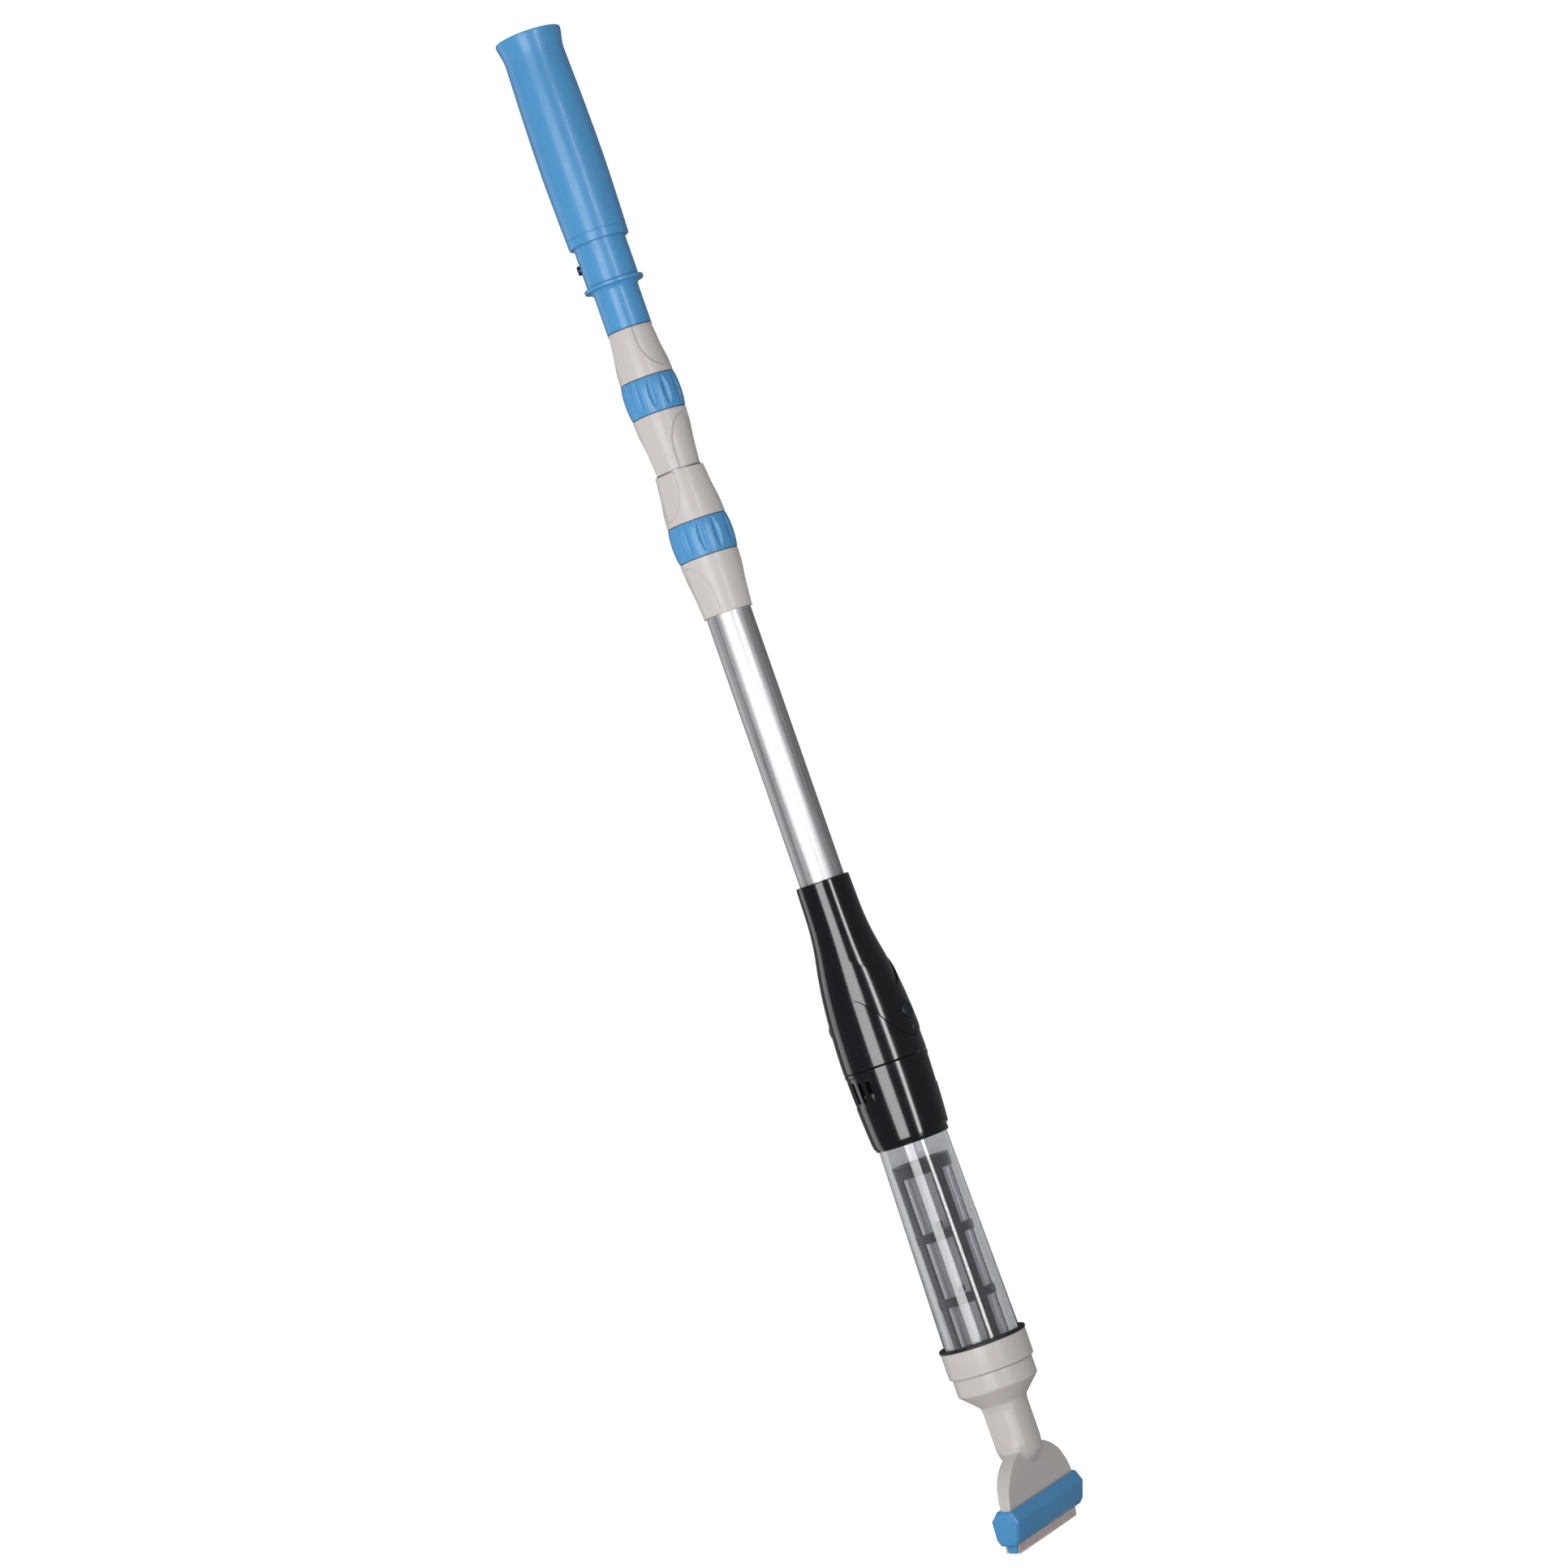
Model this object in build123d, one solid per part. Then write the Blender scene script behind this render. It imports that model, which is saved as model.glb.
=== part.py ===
from build123d import *
import math
import os

# Cordless pool vacuum on a twist-lock telescopic pole.
# Millimetres. The pole's axis is Z, and the brush stands on z = 0.
# X runs along the brush, and -Y is the front, where the switch is.

# ---------------------------------------------------------------- driving sizes
# Fits
slip = 0.05  # radial, between pieces of one body that slide together once
run = 0.08  # radial, between a guide and the tube that runs in it
gap = 0.4  # between pieces that move apart

# Telescopic tubes
outer_tube_d = 28.6
tube_wall = 1.2
tube_gap = 0.4  # radial, between one tube and the next
stage_gap = 1.0  # between one lock and the next when the pole is closed
inner_tube_foot = 20.0  # how far each tube ends above the one around it
guide_height = 14.0
guide_wall = 2.0

# Twist locks
lower_base_height = 36.5
upper_base_height = 36.6
ring_height = 22.4
cap_height = 32.0
lock_end_wall = 2.0  # shell over tube at the thin end
lock_shoulder_wall = 4.4  # shell over tube beside the ring
ring_wall = 5.7  # ring over tube at its waist
sleeve_wall = 1.6
sleeve_reach = 11.0  # how far the sleeve enters the cap
collet_slits = 4
slit_width = 1.2
flute_count = 12
flute_depth = 1.0
flute_half_width = 2.3
scoop_depth = 0.5
scoop_half_width = 14.0
scoop_length = 20.0
lower_lock_turn = 150.0  # azimuth of the scoops on the lower lock
upper_lock_turn = -93.0

# Handle and its adapter
adapter_wall = 3.1
adapter_sleeve = 28.0
flange_r = 19.0
flange_thick = 2.5
spigot_length = 46.0
spigot_seat = 5.0  # how far the inner tube enters above the flange
collar_r = 16.6
collar_height = 26.0
grip_length = 135.0
grip_end_r = 19.4
grip_belly_r = 20.4
grip_neck_r = 19.1
flare_r = 21.0
flare_height = 15.0
pole_socket_r = 16.0  # takes a 1 1/4 inch pole
pole_socket_depth = 110.0
web_thick = 3.0
drain_r = 4.0
snap_r = 3.0
snap_proud = 2.0
snap_turn = 120.0  # azimuth of the snap button
clip_thick = 0.6
clip_width = 6.0

# Motor and battery housing
housing_length = 169.0
seam_above_rim = 50.0
seam_gap = 0.5
socket_depth = 28.0
shell_wall = 2.2
housing_top_r = 17.1
housing_max_r = 26.9
housing_bulge = (  # share of the largest radius, and share of the height above the rim
    (0.974, 0.142),
    (1.0, 0.296),
    (0.941, 0.509),
    (0.818, 0.669),
)
rim_r = 24.9
notch_height = 5.5
notch_half_width = 24.5
vent_count = 5
vent_pitch = 14.5  # degrees
vent_width = 2.5
vent_height = 14.0
vent_turn = 147.0  # azimuth of the middle slot of one group
vent_below_seam = 5.0
pad_rise = 1.0  # at the middle of the front, fading to nothing at the sides
pad_reach = 7.0  # how far in front of the axis the pad's ends lie
pad_top = ((0, 16.5), (5.6, 19.7), (12.3, 28.0), (17.8, 37.2), (24.6, 46.0))
pad_low = ((0, -16.5), (10.0, -12.0), (17.3, -1.2), (22.2, 11.3), (24.6, 17.5))
light_r = 1.5
light_drop = 11.0  # from the button to the charge light
button_r = 5.5
button_proud = 0.8
button_travel = 1.2
switch_thick = 2.4
cell_r = 7.1
cell_count = 3
board_thick = 1.6
motor_r = 12.2
motor_length = 25.0
shaft_r = 1.0
impeller_r = 19.0
impeller_height = 12.0
blade_count = 6
eye_r = 10.0
screw_r = 1.4
screw_head_r = 2.6
screw_sink = 1.7  # from the shell's face to the seat of the head
screw_up = (8.0, 20.0)  # screws above the tube's foot, in the back of the socket
jack_r = 4.0
jack_bore_r = 2.75
jack_depth = 9.0
plug_head_r = 5.5
plug_head_thick = 1.6

# Clear debris chamber
chamber_shown = 128.0  # between the seal ring and the coupling ring
chamber_top_r = 21.9
chamber_foot_r = 24.2
chamber_wall = 2.0
chamber_sink = 12.0  # how far it enters the nozzle's collar
coupling_height = 18.0
coupling_wall = 1.5
lug_height = 3.2
lug_reach = 1.1
lug_angle = 20.0
twist_angle = 30.0

# Filter
cage_r = 18.3
cage_wall = 1.8
cage_height = 117.0
cage_band = 6.6
cage_rib = 8.0
cage_turn = 56.0
cage_flange_r = 21.4
cage_flange_thick = 3.0
screen_thick = 0.4
stud_r = 2.2
stud_turn = 205.0

# Nozzle
seal_r = 28.0
seal_thick = 2.0
collar_ring_r = 27.4
collar_ring_height = 17.0
band_r = 25.6
band_height = 11.5
cone_height = 10.5
neck_r = 15.0
neck_bore_r = 12.2
neck_length = 32.5
fan_half_width = 44.0
fan_top_thick = 10.2
mouth_thick = 7.2
mouth_wall = 1.3
fan_offset = -1.2
flap_thick = 2.0
knuckle_r = 1.5
flap_lap = 1.4  # how far the flap rests on its seat all round
pin_r = 1.0

# Brush head
mouth_tilt = 12.0  # degrees, the front edge lower than the back
hood_length = 94.0
hood_height = 21.2
hood_top_half = 5.0
hood_waist_half = 9.2
hood_waist_up = 4.5
hood_foot_half = 5.0
hood_knee_half = 7.4
hood_knee_up = -7.0
pocket_depth = 14.0
bristle_reach = 6.0
bristle_root = 2.6
bristle_thick = 1.4
bristle_length = 84.0
block_length = 5.0

# ---------------------------------------------------------------- worked out sizes
outer_r = outer_tube_d / 2
middle_r = outer_r - tube_wall - tube_gap
inner_r = middle_r - tube_wall - tube_gap
adapter_r = inner_r + slip + adapter_wall

tilt = math.radians(mouth_tilt)
strip_centre = hood_foot_half - bristle_thick / 2 - 0.1
strip_outer = strip_centre + bristle_thick / 2
hood_drop = hood_height / 2 + bristle_reach
z_hood = hood_drop * math.cos(tilt) + strip_outer * math.sin(tilt)
z_bend = z_hood + hood_height / 2 * math.cos(tilt) + 1.4
y_hood = fan_offset + (z_bend - z_hood) * math.tan(tilt)
hood_place = Pos(0, y_hood, z_hood) * Rot(X=mouth_tilt)

z_neck = z_bend + 25.0
z_cone = z_neck + neck_length
z_band = z_cone + cone_height
z_collar = z_band + band_height
z_seal = z_collar + collar_ring_height
z_chamber = z_seal + seal_thick
z_rim = z_chamber + chamber_shown
z_seam = z_rim + seam_above_rim
z_socket = z_rim + housing_length - socket_depth
z_housing_top = z_rim + housing_length
z_lower_lock = z_housing_top + 175.1
lock_gap = 0.5
z_lower_ring = z_lower_lock + lower_base_height + lock_gap
z_lower_cap = z_lower_ring + ring_height + lock_gap
z_lower_top = z_lower_cap + cap_height
z_upper_lock = z_lower_top + stage_gap
z_upper_ring = z_upper_lock + upper_base_height + lock_gap
z_upper_cap = z_upper_ring + ring_height + lock_gap
z_upper_top = z_upper_cap + cap_height
z_adapter = z_upper_top + lock_gap
z_flange = z_adapter + adapter_sleeve
z_spigot = z_flange + flange_thick
z_grip_collar = z_spigot + 0.3
z_grip = z_grip_collar + collar_height
z_top = z_grip + grip_length
z_snap = z_spigot + 13.5


# ---------------------------------------------------------------- helpers
def tube(r_out, r_in, z_low, z_high):
    """A round tube on the pole's axis."""
    return Pos(0, 0, z_low) * extrude(Circle(r_out) - Circle(r_in), z_high - z_low)


def rod(r, z_low, z_high):
    """A round bar on the pole's axis."""
    return Pos(0, 0, z_low) * extrude(Circle(r), z_high - z_low)


def spun(edges):
    """A solid turned about the pole's axis from edges drawn as (radius, z)."""
    return revolve(make_face(Plane.XZ * Curve(children=edges)), Axis.Z)


def turned_points(*points):
    """A solid turned from straight runs between (radius, z) points."""
    return revolve(Plane.XZ * make_face(Polyline(*points, close=True)), Axis.Z)


def around(turn, r=0, z=0):
    """A place on the azimuth turn, with local X pointing away from the axis."""
    return Rot(Z=turn) * Pos(r, 0, z)


def sector(r_out, r_in, z_low, z_high, turn, angle):
    """A block between two radii that spans angle degrees about azimuth turn."""
    whole = tube(r_out, r_in, z_low, z_high)
    reach = 2 * r_out
    half = math.radians(angle / 2)
    wedge = make_face(
        Polyline(
            (0, 0),
            (reach, -reach * math.tan(half)),
            (reach, reach * math.tan(half)),
            close=True,
        )
    )
    return whole & (Rot(Z=turn) * Pos(0, 0, z_low) * extrude(wedge, z_high - z_low))


def save(name, *solids):
    """Writes one node, as one solid or as a group of separate solids."""
    shape = solids[0] if len(solids) == 1 else Compound(children=list(solids))
    export_step(shape, os.path.join("parts", name + ".step"))


# ---------------------------------------------------------------- telescopic pole
def lock_shell(wide_r, thin_r, bore_r, z_wide, z_thin, turn):
    """A lock's outer shell, bellied from the ring to its thin end, with two thumb scoops."""
    up = 1 if z_thin > z_wide else -1
    height = abs(z_thin - z_wide)
    round_in = 0.8

    def blank(inset):
        wide = wide_r - inset
        thin = thin_r - inset
        belly = thin + (wide - thin) * 0.62
        outline = [
            Line((bore_r, z_wide), (wide - round_in, z_wide)),
            Line((wide - round_in, z_wide), (wide, z_wide + up * round_in)),
            ThreePointArc(
                (wide, z_wide + up * round_in),
                (belly, z_wide + up * height / 2),
                (thin, z_thin - up * round_in),
            ),
            Line((thin, z_thin - up * round_in), (thin - round_in, z_thin)),
            Line((thin - round_in, z_thin), (bore_r, z_thin)),
            Line((bore_r, z_thin), (bore_r, z_wide)),
        ]
        return spun(outline)

    full = blank(0)
    scooped = blank(scoop_depth)
    scoop_end = z_wide + up * 3.0
    centre = scoop_end + up * scoop_length
    oval = Plane.YZ * Pos(0, centre) * Ellipse(scoop_half_width, scoop_length)
    open_end = Plane.YZ * Pos(0, centre + up * height / 2) * Rectangle(
        2 * scoop_half_width, height
    )
    for side in (0, 180):
        cutter = extrude(oval + open_end, 2 * wide_r)
        full = full - Rot(Z=turn + side) * cutter
    return full + scooped


def lock_base(z_base, height, tube_r, turn):
    """The shell fixed on a tube's top end, with the sleeve that holds the collet."""
    bore = tube_r + slip
    shell = lock_shell(
        tube_r + lock_shoulder_wall, tube_r + lock_end_wall, bore, z_base + height, z_base, turn
    )
    z_sleeve_top = z_base + height + 2 * lock_gap + ring_height + sleeve_reach
    sleeve = tube(bore + sleeve_wall, bore, z_base + height - 1, z_sleeve_top)
    return shell + sleeve


def lock_collet(z_base, height, tube_r, moving_r):
    """A slit sleeve that grips the moving tube when the ring is turned."""
    z_low = z_base + height - 2
    z_high = z_base + height + 2 * lock_gap + ring_height + sleeve_reach
    collet = tube(tube_r, moving_r + run, z_low, z_high)
    slit = Box(2 * tube_r, slit_width, z_high - z_low - 8)
    for k in range(collet_slits):
        place = around(45 + k * 360 / collet_slits, tube_r, (z_low + 8 + z_high) / 2)
        collet = collet - place * slit
    return collet


def lock_ring(z_low, tube_r):
    """The blue twist ring: barrel shaped, with leaf-shaped finger flutes."""
    waist = tube_r + ring_wall
    end = waist - 1.3
    bore = tube_r + slip + sleeve_wall + gap
    z_high = z_low + ring_height
    outline = [
        Line((bore, z_low), (end, z_low)),
        ThreePointArc((end, z_low), (waist, (z_low + z_high) / 2), (end, z_high)),
        Line((end, z_high), (bore, z_high)),
        Line((bore, z_high), (bore, z_low)),
    ]
    ring = spun(outline)
    half = ring_height * 0.42
    leaf = spun(
        [
            ThreePointArc((0, -half), (flute_half_width, 0), (0, half)),
            Line((0, half), (0, -half)),
        ]
    )
    reach = waist + flute_half_width - flute_depth
    for k in range(flute_count):
        ring = ring - around(k * 360 / flute_count, reach, (z_low + z_high) / 2) * leaf
    return ring


def lock_cap(z_low, tube_r, moving_r, turn):
    """The upper shell, pressed on the sleeve, closed down to the moving tube at its top."""
    sleeve_r = tube_r + slip + sleeve_wall
    z_high = z_low + cap_height
    shell = lock_shell(
        tube_r + lock_shoulder_wall, tube_r + lock_end_wall, moving_r + gap, z_low, z_high, turn
    )
    return shell - tube(sleeve_r + slip, moving_r, z_low - 1, z_low + sleeve_reach + 0.2)


def make_lock(name, z_base, base_height, tube_r, moving_r, turn):
    z_ring = z_base + base_height + lock_gap
    z_cap = z_ring + ring_height + lock_gap
    save(name + "_lock_base", lock_base(z_base, base_height, tube_r, turn))
    save(name + "_lock_collet", lock_collet(z_base, base_height, tube_r, moving_r))
    save(name + "_lock_ring", lock_ring(z_ring, tube_r))
    save(name + "_lock_cap", lock_cap(z_cap, tube_r, moving_r, turn))


def make_pole():
    z_outer_top = z_lower_lock + lower_base_height - 2
    z_middle_foot = z_socket + inner_tube_foot
    z_middle_top = z_upper_lock + upper_base_height - 2
    z_inner_foot = z_middle_foot + inner_tube_foot
    z_inner_top = z_spigot + spigot_seat
    tubes = {
        "outer_tube": (outer_r, z_socket, z_outer_top),
        "middle_tube": (middle_r, z_middle_foot, z_middle_top),
        "inner_tube": (inner_r, z_inner_foot, z_inner_top),
    }
    for name, (r, z_low, z_high) in tubes.items():
        pipe = tube(r, r - tube_wall, z_low, z_high)
        if name == "outer_tube":
            for up in screw_up:
                pipe = pipe - Pos(0, outer_r, z_socket + up) * Rot(X=90) * Cylinder(
                    screw_r + slip, outer_r
                )
        save(name, pipe)

    # A guide is pressed into a tube's foot, and its rim runs in the next tube out.
    for name, r, z_foot in (
        ("middle_guide", middle_r, z_middle_foot),
        ("inner_guide", inner_r, z_inner_foot),
    ):
        stem_r = r - tube_wall - slip
        rim_r_out = r + tube_gap - run
        stem = tube(stem_r, stem_r - guide_wall, z_foot, z_foot + guide_height)
        rim = tube(rim_r_out, stem_r - guide_wall, z_foot - 4, z_foot)
        save(name, stem + rim)

    make_lock("lower", z_lower_lock, lower_base_height, outer_r, middle_r, lower_lock_turn)
    make_lock("upper", z_upper_lock, upper_base_height, middle_r, inner_r, upper_lock_turn)


# ---------------------------------------------------------------- handle
def make_adapter():
    """The blue sleeve on the inner tube, with its flange and the spigot for the handle."""
    z_high = z_spigot + spigot_length
    bore = inner_r + slip
    body = tube(adapter_r, bore, z_adapter, z_high)
    flange = tube(flange_r, bore, z_flange, z_spigot)
    fillet_ring = turned_points(
        (adapter_r - 0.5, z_flange - 2.5), (adapter_r, z_flange - 2.5), (adapter_r + 1.6, z_flange),
        (adapter_r - 0.5, z_flange),
    )
    hole = around(snap_turn, adapter_r, z_snap) * Rot(Y=90) * Cylinder(snap_r + gap, 12)
    flange = fillet(flange.edges().filter_by(GeomType.CIRCLE).group_by(SortBy.RADIUS)[-1], 0.8)
    save("handle_adapter", body + flange + fillet_ring - hole)


def make_snap():
    """The button, and the V spring inside the spigot that pushes it out."""
    back = inner_r - 2.0
    tip = collar_r + snap_proud
    button = Cylinder(snap_r, tip - back)
    button = fillet(button.edges().sort_by(Axis.Z)[-1], 1.2)
    button = button + Pos(0, 0, -(tip - back) / 2 + 0.5) * Cylinder(snap_r + 0.8, 1.0)
    middle = (tip + back) / 2
    save("snap_button", around(snap_turn, middle, z_snap) * Rot(Y=90) * button)

    front = back - 0.05 - clip_thick
    rear = -(inner_r + slip) + 0.7
    z_bow = z_snap + 20
    bow_r = (front + clip_thick - rear) / 2
    leaf = Box(clip_thick, clip_width, z_bow - z_snap + 4)
    z_leaf = (z_bow + z_snap - 4) / 2
    front_leaf = Pos(front + clip_thick / 2, 0, z_leaf) * leaf
    rear_leaf = Pos(rear + clip_thick / 2, 0, z_leaf) * leaf
    bow_face = (Circle(bow_r) - Circle(bow_r - clip_thick)) & (Pos(0, bow_r) * Rectangle(
        2 * bow_r, 2 * bow_r
    ))
    bow = Plane.XZ * Pos((front + clip_thick + rear) / 2, z_bow) * extrude(
        bow_face, clip_width / 2, both=True
    )
    save("snap_clip", Rot(Z=snap_turn) * (front_leaf + rear_leaf + bow))


def make_grip():
    """The hollow handle: collar below, bellied grip, flared open mouth for a longer pole."""
    spigot_bore = adapter_r + slip
    z_neck_low = z_top - flare_height
    outline = [
        Line((spigot_bore, z_grip_collar), (collar_r, z_grip_collar)),
        Line((collar_r, z_grip_collar), (collar_r, z_grip)),
        Line((collar_r, z_grip), (grip_end_r - 1.0, z_grip)),
        ThreePointArc(
            (grip_end_r - 1.0, z_grip), (grip_end_r - 0.3, z_grip + 0.3), (grip_end_r, z_grip + 1.0)
        ),
        Spline(
            (grip_end_r, z_grip + 1.0),
            (grip_belly_r, z_grip + grip_length * 0.37),
            (grip_neck_r, z_neck_low),
            (flare_r - 0.2, z_top - 2.0),
            tangents=((0.06, 1), (0.35, 1)),
        ),
        ThreePointArc((flare_r - 0.2, z_top - 2.0), (flare_r, z_top - 0.9), (flare_r - 0.8, z_top)),
        Line((flare_r - 0.8, z_top), (spigot_bore, z_top)),
        Line((spigot_bore, z_top), (spigot_bore, z_grip_collar)),
    ]
    solid = spun(outline)
    z_web = z_top - pole_socket_depth
    core = rod(spigot_bore + 1, z_web - web_thick, z_web)
    solid = solid + core
    solid = solid - rod(pole_socket_r, z_web, z_top + 1) - rod(drain_r, z_web - 9, z_web + 1)
    groove = tube(grip_belly_r + 2, grip_end_r - 0.25, z_grip + 5.6, z_grip + 6.2)
    way = 2 * (collar_r - adapter_r) + 4
    hole = around(snap_turn, collar_r, z_snap) * Rot(Y=90) * Cylinder(snap_r + gap, way)
    save("handle_grip", solid - groove - hole)


# ---------------------------------------------------------------- housing
def housing_profile(inset):
    """The outer line of the motor and battery housing, drawn in by inset, bottom to top."""
    widths = [share * housing_max_r - inset for share, _ in housing_bulge]
    heights = [z_rim + share * housing_length for _, share in housing_bulge]
    bulge = list(zip(widths, heights))
    return [
        ThreePointArc(
            (rim_r - 2.4 - inset, z_rim), (rim_r - 0.7 - inset, z_rim + 1.3),
            (rim_r - inset, z_rim + 4.0),
        ),
        Spline((rim_r - inset, z_rim + 4.0), *bulge),
        Spline(
            bulge[-1],
            (housing_top_r + 0.9 - inset, z_rim + 0.805 * housing_length),
            (housing_top_r - inset, z_housing_top - 1.0),
            tangents=((-0.22, 1), (-0.01, 1)),
        ),
        Line(
            (housing_top_r - inset, z_housing_top - 1.0),
            (housing_top_r - 0.8 - inset, z_housing_top),
        ),
    ]


def housing_solid(inset, z_low, z_high):
    """The housing's outer form between two heights, filled to the axis."""
    line = housing_profile(inset)
    end_r = housing_top_r - 0.8 - inset
    start_r = rim_r - 2.4 - inset
    close = [
        Line((end_r, z_housing_top), (0, z_housing_top)),
        Line((0, z_housing_top), (0, z_rim)),
        Line((0, z_rim), (start_r, z_rim)),
    ]
    whole = spun(line + close)
    return whole & rod(2 * housing_max_r, z_low, z_high)


def housing_r(z):
    """The housing's outer radius at a height, read off the form."""
    slab = housing_solid(0, z - 0.05, z + 0.05)
    return slab.bounding_box().size.X / 2


z_motor = z_seam + 5.0
z_cells = z_motor + motor_length + 3.0
z_cell_top = z_socket - 8.0
z_button = z_rim + 77.5
z_light = z_button - light_drop
button_seat = housing_r(z_button) + pad_rise
y_button = -button_seat
switch_back_y = y_button + shell_wall + 0.8 + button_travel + 0.3 + 2.0 + switch_thick
z_jack = z_rim + 78.0
jack_face = housing_r(z_jack)
skirt_r = chamber_top_r + slip + coupling_wall + gap
z_volute = z_rim + 22.0


def pad_prism():
    """A prism with the pad's outline, a broad V with rounded arms, out through the front."""
    top = [(-x, z) for x, z in pad_top[:0:-1]] + list(pad_top)
    low = [(-x, z) for x, z in pad_low[:0:-1]] + list(pad_low)
    edges = [
        Spline(*top),
        Line(top[-1], low[-1]),
        Spline(*low[::-1]),
        Line(low[0], top[0]),
    ]
    outline = make_face(Plane.XZ * Curve(children=edges))
    return Pos(0, -pad_reach, z_button) * extrude(outline, 2 * housing_max_r, dir=(0, -1, 0))


def make_housing_upper():
    z_low = z_seam + seam_gap / 2
    shell = housing_solid(0, z_low, z_housing_top)
    shell = shell - housing_solid(shell_wall, z_low - 1, z_socket - 3)
    shell = shell - rod(outer_r + slip, z_socket, z_housing_top + 1)
    lip_r = housing_r(z_seam) - shell_wall / 2 - slip
    lip_wall = shell_wall / 2 - 0.2
    shell = shell + tube(lip_r, lip_r - lip_wall, z_seam - 4, z_low + 0.4)
    # screw holes through the back of the socket
    for up in screw_up:
        back = Pos(0, housing_r(z_socket + up), z_socket + up) * Rot(X=90)
        shell = shell - back * Cylinder(screw_r + slip, 12)
        shell = shell - back * Cylinder(screw_head_r + 0.2, 2 * screw_sink)
    # the window for the switch, and the hole for the jack
    window = Pos(0, y_button, z_button) * Rot(X=90) * Cylinder(button_r + 2.0, 14)
    jack_hole = Pos(0, jack_face, z_jack) * Rot(X=90) * Cylinder(jack_r + slip, 12)
    light_hole = Pos(0, y_button, z_light) * Rot(X=90) * Cylinder(light_r + slip, 14)
    return shell - window - jack_hole - light_hole


def make_switch_pad():
    """The raised pad round the front that carries the button, a skin over the shell."""
    z_low = z_button + pad_low[0][1] - 1
    z_high = z_button + pad_top[-1][1] + 1
    proud = Pos(0, -pad_rise, 0) * housing_solid(0, z_low, z_high)
    skin = proud - housing_solid(-slip, z_low - 1, z_high + 1)
    hole = Pos(0, y_button, z_button) * Rot(X=90) * Cylinder(button_r + gap, 14)
    light_hole = Pos(0, y_button, z_light) * Rot(X=90) * Cylinder(light_r + slip, 14)
    return (skin & pad_prism()) - hole - light_hole


def make_switch():
    face = y_button - button_proud
    back = y_button + shell_wall + 0.8
    cap = Cylinder(button_r, back - face)
    cap = fillet(cap.edges().sort_by(Axis.Z)[-1], 0.7)
    dish = Pos(0, 0, (back - face) / 2 + 15.4) * Sphere(16)
    cap = cap - dish
    save("power_button", Pos(0, (face + back) / 2, z_button) * Rot(X=90) * cap)

    front = back + button_travel + 0.3
    body_front = switch_back_y - switch_thick
    plunger = Pos(0, (front + body_front) / 2, z_button) * Rot(X=90) * Cylinder(
        1.6, body_front - front + 0.2
    )
    body = Pos(0, body_front + switch_thick / 2, z_button) * Box(6.2, switch_thick, 6.2)
    save("push_switch", plunger + body)

    light = Cylinder(light_r, 4.0)
    save("charge_light", Pos(0, y_button + 1.8, z_light) * Rot(X=90) * light)


def make_jack():
    """The charging jack in the back of the shell, and the rubber plug that keeps it dry."""
    back = jack_face - jack_depth - 1.5
    barrel = Pos(0, (jack_face - 0.3 + back) / 2, z_jack) * Rot(X=90) * Cylinder(
        jack_r, jack_face - 0.3 - back
    )
    bore = Pos(0, jack_face - jack_depth / 2, z_jack) * Rot(X=90) * Cylinder(
        jack_bore_r, jack_depth
    )
    save("charge_jack", barrel - bore)

    stem_r = jack_bore_r - 0.3
    head_y = jack_face + 0.45
    head = Pos(0, head_y + plug_head_thick / 2, z_jack) * Rot(X=-90) * Cylinder(
        plug_head_r, plug_head_thick
    )
    head = fillet(head.edges().sort_by(Axis.Y)[-1], 0.6)
    stem = Pos(0, head_y - 2.5, z_jack) * Rot(X=90) * Cylinder(stem_r, 5.2)
    save("jack_plug", head + stem)


def make_housing_lower():
    lower = housing_solid(0, z_rim, z_seam - seam_gap / 2)
    bore_r = housing_r(z_rim + 30) - shell_wall
    lower = lower - rod(bore_r, z_volute + 2.2, z_seam + 1)
    lower = lower - rod(skirt_r, z_rim - 1, z_volute)
    lower = lower - rod(eye_r, z_volute - 1, z_volute + 4)
    seat_r = housing_r(z_seam) - shell_wall / 2
    lower = lower - rod(seat_r, z_seam - 5.4, z_seam + 1)
    # thumb notch in the front of the rim
    notch_r = (notch_half_width**2 + notch_height**2) / (2 * notch_height)
    notch = Pos(0, -housing_max_r, z_rim + notch_height - notch_r) * Rot(X=90) * Cylinder(
        notch_r, 2 * housing_max_r - 10
    )
    lower = lower - notch
    # vent slots in two groups, each in a shallow recess
    z_vent = z_seam - vent_below_seam - vent_height / 2
    slot = Box(14, vent_width, vent_height)
    slot = fillet(slot.edges().filter_by(Axis.X), 0.8)
    span = (vent_count - 1) * vent_pitch + 22
    deep = housing_r(z_vent)
    for side in (0, 180):
        recess = sector(
            2 * housing_max_r, deep - 0.6, z_vent - vent_height / 2 - 2.2,
            z_vent + vent_height / 2 + 2.2, vent_turn + side, span,
        )
        lower = lower - recess
        for k in range(vent_count):
            turn = vent_turn + side + (k - (vent_count - 1) / 2) * vent_pitch
            lower = lower - around(turn, deep, z_vent) * slot
    # bayonet groove and its two entries, for the chamber's lugs
    z_lug = z_rim + coupling_height - 6
    groove_r = skirt_r - gap + lug_reach + gap
    for side in (90, 270):
        sweep = lug_angle + twist_angle + 2
        groove = sector(
            groove_r, skirt_r - 1, z_lug - gap, z_lug + lug_height + gap,
            side + twist_angle / 2, sweep,
        )
        entry = sector(
            groove_r, skirt_r - 1, z_rim - 1, z_lug + lug_height + gap,
            side + twist_angle, lug_angle + 2,
        )
        lower = lower - groove - entry
    return lower


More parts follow.
